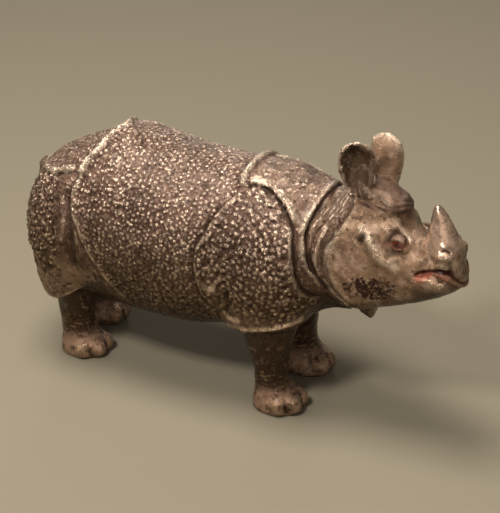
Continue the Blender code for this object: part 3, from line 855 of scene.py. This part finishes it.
    def wrinkles(self) -> np.ndarray:
        """Wrinkles of the neck, poll, jaw, ankles and belly, and the grain of the casting.

        Returns:
            Height for each vertex.
        """
        at, plates = self.skin.at, self.plates
        x, _, z = at.T
        along, side, height = self.skin.on_head.T
        head, ears = plates["head"], plates["ears"]
        warp = mottle(at, 9, 3) * 5 + mottle(at, 4, 4) * 2.2
        cheek = Plates(self.skin).edge("cheek")
        made = plates["neck"] * 0.55 * wrinkle((cheek - x) * 0.62 + 0.5 * warp)
        made += plates["neck"] * 0.3 * wrinkle((cheek - x) * 1.7 + 0.8 * warp)
        poll = head * ramp(height - on_line(along, BROW), -0.8, 1.6) * ramp(37 - along, 0, 3)
        poll = np.maximum(poll, head * ramp(13 - along, 0, 4) * ramp(height, 80, 90))
        self.fields["poll"] = poll * (1 - ears)
        made += poll * (1 - ears) * 0.5 * wrinkle(height * 1.9 + (along + 0.02 * side**2) * 0.6 + warp)
        jaw = head * (1 - ramp(height, 62, 72)) * ramp(46 - along, 0, 8)
        made += jaw * 0.2 * wrinkle(along * 1.1 + height * 0.6 + warp)
        ankles = plates["legs"] * ramp(z, 7, 10) * hump(z - 14, 6)
        made += ankles * 0.26 * wrinkle(z * 1.8 + mottle(at, 6, 6) * 5)
        made += plates["legs"] * ramp(z, 1, 4) * 0.45 * rough(at, 3.0, 8)
        belly = ramp(self.skin.angle, 128, 150) * ramp(z, 20, 23) * (np.abs(x + 8) < 36)
        made += belly * 0.35 * wrinkle(x * 0.9 + warp)
        made += head * (1 - plates["horn"]) * (1 - ears) * 0.35 * rough(at, 2.1, 15)
        muzzle = head * ramp(along, 44, 49) * (1 - ramp(height, 86, 90)) * ramp(height, 78, 80)
        made += muzzle * 0.7 * rough(at, 1.6, 16)
        made += 0.22 * rough(at, 1.1, 12) * ramp(z, 1, 3)
        made += (1 - head) * (1 - ears) * 0.4 * rough(at, 3.2, 14) * ramp(z, 26, 32)
        # Painted shade under the chin.
        self.fields["chin"] = head * ramp(along, 38, 45) * (1 - ramp(height, 69.5, 73.5))
        self.fields["loss"] = loss = self.cheek_loss()
        return made - 0.35 * loss * ramp(mottle(at, 2.0, 17), 0.45, 0.6)

    def cheek_loss(self) -> np.ndarray:
        """Where the paint of the cheeks is worn away.

        Returns:
            From 0 to 1 for each vertex.
        """
        at = self.skin.at
        along, side, height = self.skin.on_head.T
        back, low = along - CHEEK_LOSS[0], height - CHEEK_LOSS[1]
        torn = rough(at, 5.0, 19) + 0.6 * rough(at, 2.4, 20)
        loss = np.exp(-((back / 7.5) ** 2) - ((low - 0.1 * back) / 4.4) ** 2)
        loss = np.clip(1.25 * loss + 1.1 * torn * (loss > 0.12), 0, 1)
        return loss * self.plates["head"] * (np.abs(side) > 6)

    def horn_and_ears(self) -> np.ndarray:
        """The grain of the horn, and the hollows and rims of the ears.

        Returns:
            Height for each vertex.
        """
        skin, ears = self.skin, self.plates["ears"]
        along, side, height = skin.on_head.T
        grain = np.sin(np.arctan2(side, along - HORN) * 18 + mottle(skin.at, 6, 13) * 4)
        made = self.plates["horn"] * 0.04 * grain * ramp(height, 88, 94)
        looks = to_head(skin.normals + np.array([HEAD_PIVOT, 0.0, 0.0]))
        inside = np.zeros(len(skin.at))
        for hand, facing in ((-1, 58), (1, 96)):
            look = math.radians(facing) * hand
            toward = looks[:, 0] * math.cos(look) + looks[:, 1] * math.sin(look)
            inside = np.maximum(inside, ears * (side * hand > 0) * ramp(toward, 0.1, 0.5))
        self.fields["ear_hollow"] = inside
        bent = ((skin.at - skin.spread(skin.at, 40)) * skin.normals).sum(1)
        rim = ears * ramp(bent, 0.12, 0.5)
        self.fields["pale"] = np.maximum(self.fields["pale"], 0.8 * rim * (1 - ramp(inside, 0.2, 0.8)))
        return made + 0.3 * rim

    def calm_ears(self) -> None:
        """Smooths the ears, whose thin walls are rougher than the rest."""
        share = self.plates["ears"][:, None]
        self.skin.move_to(self.skin.at * (1 - share) + self.skin.spread(self.skin.at, 8) * share)

    def lids(self, lid: "Lid") -> None:
        """Wraps the skin round both eyeballs, with a heavy upper lid.

        Args:
            lid: The sizes of the lids and the opening.
        """
        on_head = to_head(self.skin.at)
        placed = self.skin.at.copy()
        for eye in EYES:
            mirror, radius = np.array([1, eye.side.value, 1]), max(eye.radii)
            out = on_head * mirror - np.array(eye.centre)
            far = np.linalg.norm(out, axis=1)
            near = np.flatnonzero((far < lid.reach) & (out[:, 1] > -2.5))
            out, far = out[near], far[near]
            way = out / np.maximum(far, 1e-6)[:, None]
            look, up = eye.look()
            facing = way @ look
            turned = np.arccos(np.clip(facing, -1, 1))
            arc = lid.radius * turned / np.maximum(np.sin(turned), 1e-3)
            across, rise = arc * (way @ np.cross(up, look)), arc * (way @ up)
            upper = ramp(rise, -1.6, 0.4)
            opening = np.hypot((across + 0.1) / lid.opening[0], (rise + lid.low) / lid.opening[1])
            ball = np.hypot(across / lid.ball[0], (rise - 0.1) / lid.ball[1])
            sunk = 1 - ramp(opening, 0.86, 1.0)
            crease = hump(ball - 1.06, 0.15)
            wrap = 1 - ramp(ball, 0.85, 1.2)
            wanted = far * (1 - wrap) + (radius + 0.35) * wrap + 0.3 * (hump(ball - 0.55, 0.35) * upper)
            wanted = np.maximum(wanted - (0.5 + 0.6 * upper) * crease, radius + 0.15)
            wanted = wanted * (1 - sunk) + (radius - 1.0) * sunk
            share = (1 - ramp(far, 5.6, lid.reach)) * ramp(facing, -0.1, 0.1)
            moved = (wanted - far) * share
            placed[near] = off_head(on_head[near] + way * moved[:, None] * mirror)
            # Painted shade in the crease above the lid and round the edge of the opening.
            shade = np.clip(crease * (0.6 + 0.5 * upper) + hump(opening - 0.98, 0.07), 0, 1)
            self.raise_field("dark", near, share * shade)
            self.fields["pale"][near] *= 1 - share * np.clip(crease + wrap, 0, 1)
            self.raise_field("poll", near, 0.85 * share * wrap * upper)
            # A painted highlight low on the upper lid.
            self.raise_field("pale", near, 0.45 * share * upper * hump(opening - 1.25, 0.2))
            self.raise_field("lips", near, 0.8 * share * hump(opening - 1.17, 0.12) * (1 - upper))
        self.skin.move_to(placed)

    def settle(self) -> None:
        """Keeps the skin on the ground and inside the solid's box."""
        low, high = (np.array(c) / MM for c in CAD_BOX)
        self.skin.at = np.clip(self.skin.at + SHIFT, low, high) - SHIFT
        self.skin.write()

    def keep_fields(self) -> None:
        """Writes the fields that the paint follows on the mesh."""
        skin = self.skin
        # How far the skin lies in a hollow, which the paint darkens as painted shade, and how far it stands
        # proud, where the paint is rubbed.
        for name, rounds, scale in (("hollow", 20, 0.45), ("deep", 150, 1.6)):
            hollow = ((skin.spread(skin.at, rounds) - skin.at) * skin.normals).sum(1)
            self.fields[name] = np.clip(hollow / scale, 0, 1)
            if name == "hollow":
                self.fields["proud"] = np.clip(-hollow / scale, 0, 1)
        for name in ("head", "neck", "horn", "ears", "legs", "withers", "apron"):
            self.fields[name] = self.plates[name]
        for name, values in self.fields.items():
            layer = skin.mesh.attributes.new(name, "FLOAT", "POINT")
            layer.data.foreach_set("value", values.astype(np.float32))

    def thin(self, obj: bpy.types.Object) -> None:
        """Drops the triangles that flat places don't need.

        Args:
            obj: The hide.
        """
        count = sum(len(p.vertices) - 2 for p in obj.data.polygons)
        log.info("the hide has %d triangles before thinning", count)
        bpy.ops.object.select_all(action="DESELECT")
        obj.select_set(True)
        bpy.context.view_layer.objects.active = obj
        if count > self.triangles:
            less = obj.modifiers.new("less", "DECIMATE")
            less.ratio = self.triangles / count
            bpy.ops.object.modifier_apply(modifier=less.name)
        bpy.ops.object.shade_smooth()

    def keep_inside(self, obj: bpy.types.Object) -> None:
        """Moves what the thinning pushed out of the solid's box back to its faces."""
        places = np.clip(read_rows(obj.data.vertices, "co"), *(np.array(c) for c in CAD_BOX))
        obj.data.vertices.foreach_set("co", places.ravel())
        obj.data.update()


@dataclass(frozen=True)
class Lid:
    """The lids and the opening between them, measured along the eyeball from its middle."""

    radius: float = 3.3
    ball: tuple[float, float] = (3.4, 3.9)
    opening: tuple[float, float] = (2.7, 1.5)
    low: float = 1.25
    reach: float = 7.0


@dataclass
class Eye:
    """An eyeball set in its socket, with a lid over it."""

    side: Side
    centre: tuple[float, float, float] = (35.3, 8.3, 86.2)
    radii: tuple[float, float, float] = (3.3, 3.3, 3.3)

    def look(self) -> tuple[np.ndarray, np.ndarray]:
        """Which way the socket faces, on the right side of a head.

        Returns:
            The way that it faces, and the way up across it.
        """
        look = np.array([0.12, 0.92, 0.3] if self.side is Side.LEFT else [0.12, 0.86, 0.5])
        look /= np.linalg.norm(look)
        up = np.array([0.0, 0.0, 1.0]) - look * look[2]
        return look, up / np.linalg.norm(up)

    def pupil(self) -> np.ndarray:
        """The middle of the opening on the ball, on the right side of a head."""
        look, up = self.look()
        return np.array(self.centre) + max(self.radii) * (0.93 * look - 0.37 * up)

    def build(self) -> bpy.types.Object:
        """Makes the eyeball.

        Returns:
            The finished piece.
        """
        bpy.ops.object.select_all(action="DESELECT")
        bpy.ops.mesh.primitive_uv_sphere_add(segments=40, ring_count=24, radius=1.0)
        ball = bpy.context.active_object
        ball.name = f"{self.side.name.lower()}_eye"
        along, out, height = self.centre
        place = np.array(from_head(along, self.side.value * out, height)) + SHIFT
        turn = Matrix.Rotation(HEAD_TURN, 4, "Z")
        size = Matrix.Diagonal((*(r * MM for r in self.radii), 1))
        ball.data.transform(Matrix.Translation(Vector(place * MM)) @ turn @ size)
        ball.data.update()
        bpy.ops.object.shade_smooth()
        return ball


EYES = (Eye(Side.RIGHT), Eye(Side.LEFT, (35.7, 7.6, 84.8), (2.0, 2.6, 1.8)))


class Nodes:
    """Places shader nodes in a tree and joins them.

    A value is a number, a colour, an output to be joined, or the name of a field on the mesh.
    """

    def __init__(self, tree: bpy.types.NodeTree) -> None:
        """Starts on a tree.

        Args:
            tree: The material's or the group's tree.
        """
        self.tree = tree

    def add(self, kind: str, **values: object) -> bpy.types.Node:
        """A node, with its inputs set or joined.

        Args:
            kind: The node's type.
            values: Properties of the node by name, and inputs by name with a leading in_.

        Returns:
            The node.
        """
        node = self.tree.nodes.new(kind)
        for name, value in values.items():
            if name.startswith("in_"):
                key = name[3:]
                self.put(node.inputs[int(key) if key.isdigit() else key.replace("_", " ")], value)
            else:
                setattr(node, name, value)
        return node

    def put(self, socket: bpy.types.NodeSocket, value: object) -> None:
        """Gives an input its value.

        Args:
            socket: The input.
            value: The value.
        """
        value = self.field(value) if isinstance(value, str) else value
        if isinstance(value, bpy.types.NodeSocket):
            self.tree.links.new(value, socket)
        else:
            socket.default_value = value

    def surface(self, **values: object) -> None:
        """Gives the material's surface its values, by the inputs' names.

        Args:
            values: The values.
        """
        for name, value in values.items():
            self.put(self.tree.nodes["Principled BSDF"].inputs[name.replace("_", " ")], value)

    def mix(self, factor: object, a: object, b: object) -> bpy.types.NodeSocket:
        """Two colours mixed.

        Args:
            factor: How much of the second.
            a: The first colour.
            b: The second colour.

        Returns:
            The mixed colour.
        """
        node = self.add("ShaderNodeMix", data_type="RGBA")
        for socket, value in ((0, factor), (6, a), (7, b)):
            self.put(node.inputs[socket], (*value, 1) if isinstance(value, tuple) else value)
        return node.outputs[2]

    def math(self, operation: str, a: object, b: object) -> bpy.types.NodeSocket:
        """A sum on two values."""
        return self.add("ShaderNodeMath", operation=operation, in_0=a, in_1=b).outputs[0]

    def times(self, *values: object) -> bpy.types.NodeSocket:
        """The product of the values."""
        return reduce(lambda a, b: self.math("MULTIPLY", a, b), values)

    def most(self, *values: object) -> bpy.types.NodeSocket:
        """The largest of the values."""
        return reduce(lambda a, b: self.math("MAXIMUM", a, b), values)

    def total(self, *values: object) -> bpy.types.NodeSocket:
        """The sum of the values."""
        return reduce(lambda a, b: self.math("ADD", a, b), values)

    def field(self, name: str) -> bpy.types.NodeSocket:
        """A value kept on the mesh."""
        return self.add("ShaderNodeAttribute", attribute_name=name).outputs["Fac"]

    def range(self, value: object, start: float, end: float) -> bpy.types.NodeSocket:
        """A value spread from 0 at start to 1 at end, smoothly."""
        return self.add("ShaderNodeMapRange", interpolation_type="SMOOTHSTEP", in_Value=value,
                        in_From_Min=start, in_From_Max=end).outputs["Result"]

    def place(self) -> bpy.types.NodeSocket:
        """The object's own coordinates."""
        return self.add("ShaderNodeTexCoord").outputs["Object"]

    def height(self) -> bpy.types.NodeSocket:
        """The height above the ground, in metres."""
        return self.add("ShaderNodeSeparateXYZ", in_Vector=self.place()).outputs["Z"]

    def noise(self, size: float, detail: float, roughness: float, start: float | None = None,
              end: float | None = None) -> bpy.types.NodeSocket:
        """Soft noise on the object's own coordinates.

        Args:
            size: How far apart its patches are, in millimetres.
            detail: How many finer layers it has.
            roughness: How strong those are.
            start: The value that becomes 0, if the noise is spread.
            end: The value that becomes 1.

        Returns:
            The noise, about 0.5 where it isn't spread.
        """
        noise = self.add("ShaderNodeTexNoise", in_Vector=self.place(), in_Scale=1000 / size,
                         in_Detail=detail, in_Roughness=roughness).outputs["Fac"]
        return noise if start is None else self.range(noise, start, end)


def new_material(name: str) -> tuple[bpy.types.Material, Nodes]:
    """Makes a material.

    Args:
        name: Its name.

    Returns:
        The material, and its nodes.
    """
    material = bpy.data.materials.new(name)
    material.use_nodes = True
    return material, Nodes(material.node_tree)


def rubbed_paint() -> bpy.types.NodeTree:
    """The shared effect of paint that is rubbed off what stands proud.

    Returns:
        A group that gives how much is rubbed, fine pale specks that are painted glints, fine dark specks,
        and a grain.
    """
    group = bpy.data.node_groups.new("rubbed_paint", "ShaderNodeTree")
    for name in ("Proud", "Amount"):
        group.interface.new_socket(name, in_out="INPUT", socket_type="NodeSocketFloat")
    for name in ("Rubbed", "Pale Specks", "Dark Specks", "Grain"):
        group.interface.new_socket(name, in_out="OUTPUT", socket_type="NodeSocketFloat")
    nodes = Nodes(group)
    given = nodes.add("NodeGroupInput").outputs
    rubbed = nodes.times(given["Proud"], nodes.noise(2.4, 4.0, 0.6, 0.34, 0.62), given["Amount"])
    nodes.add(
        "NodeGroupOutput",
        in_Rubbed=nodes.range(rubbed, 0.12, 0.55),
        # Fine pale specks, used on the hide as painted glints.
        in_Pale_Specks=nodes.noise(0.8, 4.0, 0.65, 0.56, 0.68),
        in_Dark_Specks=nodes.noise(1.3, 5.0, 0.7, 0.56, 0.7),
        in_Grain=nodes.noise(0.45, 5.0, 0.7),
    )
    return group


@dataclass(frozen=True)
class PaintedBronze:
    """Cold paint over bronze: a dark ground, pale crests and a coloured face."""

    # ground and ground_top, crest_low and crest, pale_low and pale are lighter towards the top: partly the
    # paint's own tone, partly painted light from above.
    ground: Colour = (0.072, 0.037, 0.016)
    ground_top: Colour = (0.15, 0.088, 0.068)
    # The darkest paint, also laid on as painted shade in grooves, pits, hollows, underneath and under the
    # chin.
    recess: Colour = (0.026, 0.010, 0.003)
    crest: Colour = (0.86, 0.69, 0.57)
    crest_low: Colour = (0.40, 0.28, 0.17)
    head: Colour = (0.29, 0.185, 0.12)
    poll: Colour = (0.13, 0.078, 0.057)
    withers: Colour = (0.21, 0.132, 0.098)
    neck: Colour = (0.15, 0.090, 0.060)
    leg: Colour = (0.050, 0.025, 0.010)
    apron: Colour = (0.21, 0.135, 0.082)
    foot: Colour = (0.42, 0.265, 0.19)
    horn: Colour = (0.52, 0.36, 0.27)
    ear: Colour = (0.36, 0.235, 0.16)
    ear_inside: Colour = (0.13, 0.080, 0.052)
    # Painted light on skin that faces up.
    painted_top_light_colour: Colour = (0.6, 0.44, 0.34)
    face_wear: Colour = (0.62, 0.46, 0.36)
    pale: Colour = (0.84, 0.71, 0.57)
    pale_low: Colour = (0.60, 0.44, 0.31)
    bare: Colour = (0.035, 0.013, 0.008)
    lips: Colour = (0.36, 0.125, 0.085)
    lips_rubbed: Colour = (0.52, 0.26, 0.19)
    mouth: Colour = (0.035, 0.004, 0.003)

    def material(self, rubbed: bpy.types.NodeTree) -> bpy.types.Material:
        """The hide's paint.

        Args:
            rubbed: The shared effect of rubbed paint.

        Returns:
            The material.
        """
        material, nodes = new_material("painted_hide")
        height = nodes.height()
        # Lighter towards the top, partly the paint's own tone and partly painted light from above.
        upper = nodes.range(height, 0.045, 0.092)
        effect = nodes.add("ShaderNodeGroup", node_tree=rubbed, in_Proud="proud", in_Amount=1.8).outputs
        broad = nodes.noise(22.0, 3.0, 0.6, 0.45, 0.62)
        patches = nodes.times(broad, nodes.range("head", 0.9, 0.0))
        patches = nodes.most(nodes.noise(7.0, 4.0, 0.6, 0.42, 0.66), patches)
        feet = nodes.times("legs", nodes.range(height, 0.014, 0.006), nodes.noise(3.5, 4.0, 0.6, 0.3, 0.55))
        # Painted light on upward-facing skin high on the figure.
        painted_top_light = nodes.times("top", nodes.noise(4.0, 4.0, 0.6, 0.35, 0.6), nodes.range(height, 0.06, 0.085))
        face = nodes.times("head", nodes.noise(4.5, 5.0, 0.65, 0.5, 0.62), nodes.range("poll", 0.5, 0.0))
        # Pale bead crests, partly rubbed paint and partly painted highlight.
        crest = nodes.times(nodes.range("crest", 0.3, 0.85), nodes.noise(3.5, 3.0, 0.55, 0.3, 0.6),
                            nodes.range(broad, 1.5, -0.2))
        crest_colour = nodes.mix(upper, self.crest_low, self.crest)
        rubbing = nodes.times(effect["Rubbed"], nodes.range("head", 1.6, 0.0),
                              nodes.range("poll", 1.2, 0.0))
        pale = nodes.range(nodes.times("pale", nodes.noise(1.8, 4.0, 0.65, 0.28, 0.5)), 0.1, 0.9)
        # Fine pale specks, more of them higher up, are painted glints.
        specks = nodes.times(effect["Pale Specks"], nodes.range("head", 1.0, 0.6),
                             nodes.range(height, 0.03, 0.07))
        loss = nodes.range(nodes.times("loss", nodes.noise(1.7, 5.0, 0.75, 0.4, 0.56)), 0.22, 0.42)
        # Painted shade in grooves, creases, pits and hollows.
        shade = nodes.most("dark", "pit", "hollow", nodes.times("deep", 0.8))
        shade = nodes.times(shade, nodes.range("ears", 2.0, 0.0))
        colour = nodes.mix(upper, self.ground, self.ground_top)
        for share, tone in (
            ("apron", self.apron), ("legs", self.leg), ("neck", self.neck), ("withers", self.withers),
            ("head", self.head), ("poll", self.poll), ("ears", self.ear), ("ear_hollow", self.ear_inside),
            ("horn", self.horn),
            (nodes.times(patches, 0.57), self.recess),
            (feet, self.foot),
            (nodes.times(painted_top_light, 0.12), self.painted_top_light_colour),
            (nodes.times(face, 0.45), self.face_wear),
            (nodes.times(crest, 0.6), crest_colour),
            (nodes.times(rubbing, 0.5), crest_colour),
            (pale, nodes.mix(upper, self.pale_low, self.pale)),
            (nodes.times(specks, 0.5), self.crest),
            (nodes.times(effect["Dark Specks"], 0.72), self.recess),
            # Painted shade on skin that faces down, and under the chin.
            (nodes.times("under", 0.6), self.recess),
            (nodes.times("chin", 0.65), self.recess),
            (loss, self.bare),
            (nodes.times(nodes.range(shade, 0.1, 0.85), 0.88), self.recess),
            ("lips", nodes.mix(effect["Rubbed"], self.lips, self.lips_rubbed)),
            ("mouth", self.mouth),
        ):
            colour = nodes.mix(share, colour, tone)
        grain = nodes.total(effect["Grain"], nodes.times(effect["Dark Specks"], -0.8))
        grain = nodes.times(grain, nodes.range("horn", 1.25, 0.0))
        bump = nodes.add("ShaderNodeBump", in_Strength=1.0, in_Distance=0.4 * MM, in_Height=grain)
        nodes.surface(
            Base_Color=colour,
            Roughness=nodes.total(
                nodes.times(nodes.range(nodes.most(shade, "mouth"), 0.0, 0.8), 0.4),
                nodes.times(effect["Grain"], 0.2), nodes.times("poll", 0.14), 0.13),
            Metallic=nodes.total(nodes.times(nodes.most(crest, effect["Rubbed"]), 0.25), 0.6),
            Specular_IOR_Level=0.3,
            Coat_Weight=0.12,
            Coat_Roughness=0.22,
            Normal=bump.outputs["Normal"],
        )
        return material


@dataclass(frozen=True)
class EyeEnamel:
    """The glossy red-brown enamel of an eye, under a pale painted lid."""

    iris: Colour = (0.07, 0.010, 0.005)
    rim: Colour = (0.16, 0.040, 0.024)
    pupil: Colour = (0.010, 0.003, 0.002)
    lid: Colour = (0.40, 0.27, 0.20)

    def material(self, eye: Eye, rubbed: bpy.types.NodeTree) -> bpy.types.Material:
        """The paint of one eye.

        Args:
            eye: Its ball.
            rubbed: The shared effect of rubbed paint.

        Returns:
            The material.
        """
        material, nodes = new_material(f"{eye.side.name.lower()}_eye_enamel")
        x, y, z = eye.pupil()
        front = (np.array(from_head(x, eye.side.value * y, z)) + SHIFT) * MM
        gap = nodes.add("ShaderNodeVectorMath", operation="DISTANCE", in_0=nodes.place(), in_1=front)
        gap = gap.outputs["Value"]
        effect = nodes.add("ShaderNodeGroup", node_tree=rubbed, in_Proud=0.4, in_Amount=1.0).outputs
        lid = nodes.range(nodes.height(), (eye.centre[2] + 2.6) * MM, (eye.centre[2] + 2.9) * MM)
        colour = nodes.mix(nodes.range(gap, 0.0013, 0.0020), self.iris, self.rim)
        colour = nodes.mix(nodes.range(gap, 0.0008, 0.0004), colour, self.pupil)
        colour = nodes.mix(lid, colour, self.lid)
        nodes.surface(
            Base_Color=nodes.mix(nodes.times(effect["Dark Specks"], 0.3), colour, self.pupil),
            Roughness=nodes.total(nodes.times(effect["Grain"], 0.1), 0.08),
            Coat_Weight=0.3,
            Coat_Roughness=0.05,
        )
        return material


@dataclass(frozen=True)
class Lamp:
    """A square soft light."""

    name: str
    place: tuple[float, float, float]
    size: float
    power: float
    aim: tuple[float, float, float] = (0.0, 0.0, 0.05)
    tint: Colour = (1.0, 0.91, 0.79)

    def build(self) -> None:
        """Hangs the light, turned to what it lights."""
        data = bpy.data.lights.new(self.name, "AREA")
        data.size, data.energy, data.color = self.size, self.power, self.tint
        lamp = bpy.data.objects.new(self.name, data)
        lamp.location = self.place
        lamp.rotation_mode = "QUATERNION"
        lamp.rotation_quaternion = (Vector(self.aim) - Vector(self.place)).to_track_quat("-Z", "Y")
        bpy.context.scene.collection.objects.link(lamp)


@dataclass
class Studio:
    """The floor, the light and the camera."""

    azimuth: float = 27.222
    elevation: float = 28.856
    distance: float = 0.700
    target: tuple[float, float, float] = (0.001754, 0.000002, 0.055346)
    lens: float = 122.12
    floor_size: float = 6.0
    floor_colour: Colour = (0.21, 0.19, 0.145)
    room_colour: Colour = (1.0, 0.88, 0.72)
    room_strength: float = 0.17

    def floor(self) -> None:
        """Lays a plain pale floor."""
        bpy.ops.object.select_all(action="DESELECT")
        bpy.ops.mesh.primitive_plane_add(size=self.floor_size)
        floor = bpy.context.active_object
        floor.name = "floor"
        material, nodes = new_material("pale_floor")
        nodes.surface(Base_Color=(*self.floor_colour, 1), Roughness=0.9)
        floor.data.materials.append(material)

    def light(self) -> None:
        """A soft light overhead, a small one by the camera, two weaker ones and an even room."""
        for lamp in (
            Lamp("key", (-0.14, -0.05, 0.85), 0.34, 8.2),
            Lamp("spark", (-0.04, -0.50, 0.70), 0.12, 4.6),
            Lamp("fill", (0.55, -0.95, 0.40), 0.9, 2.2),
            Lamp("back", (-1.0, 2.3, 0.9), 0.6, 11.0, aim=(-0.8, 1.7, 0.0)),
        ):
            lamp.build()
        world = bpy.data.worlds.new("room")
        world.use_nodes = True
        room = world.node_tree.nodes["Background"].inputs
        room["Color"].default_value = (*self.room_colour, 1)
        room["Strength"].default_value = self.room_strength
        bpy.context.scene.world = world
        bpy.context.scene.view_settings.view_transform = "Standard"

    def camera(self) -> None:
        """Sets the camera at the photograph's angle."""
        data = bpy.data.cameras.new("camera")
        data.lens, data.sensor_width, data.sensor_fit = self.lens, 36.0, "AUTO"
        data.clip_start, data.clip_end = 0.05, 20.0
        az, el = math.radians(self.azimuth), math.radians(self.elevation)
        back = Vector((math.sin(az) * math.cos(el), -math.cos(az) * math.cos(el), math.sin(el)))
        right = Vector((math.cos(az), math.sin(az), 0.0))
        turn = Matrix((right, back.cross(right), back)).transposed().to_4x4()
        camera = bpy.data.objects.new("camera", data)
        camera.matrix_world = Matrix.Translation(Vector(self.target) + back * self.distance) @ turn
        bpy.context.scene.collection.objects.link(camera)
        bpy.context.scene.camera = camera


def main() -> None:
    """Builds the figure's look and the studio, and reports each piece."""
    logging.basicConfig(level=logging.INFO, format="%(name)s: %(message)s")
    rubbed = rubbed_paint()
    hide = Hide().build()
    hide.data.materials.append(PaintedBronze().material(rubbed))
    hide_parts("rhinoceros")
    pieces = [hide]
    for eye in EYES:
        ball = eye.build()
        ball.data.materials.append(EyeEnamel().material(eye, rubbed))
        pieces.append(ball)
    for piece in pieces:
        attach(piece, "root")
        log.info("%s: %d faces", piece.name, len(piece.data.polygons))
    studio = Studio()
    studio.floor()
    studio.light()
    studio.camera()
    log.info("the floor, the light and the camera are set")


if __name__ == "__main__":
    main()
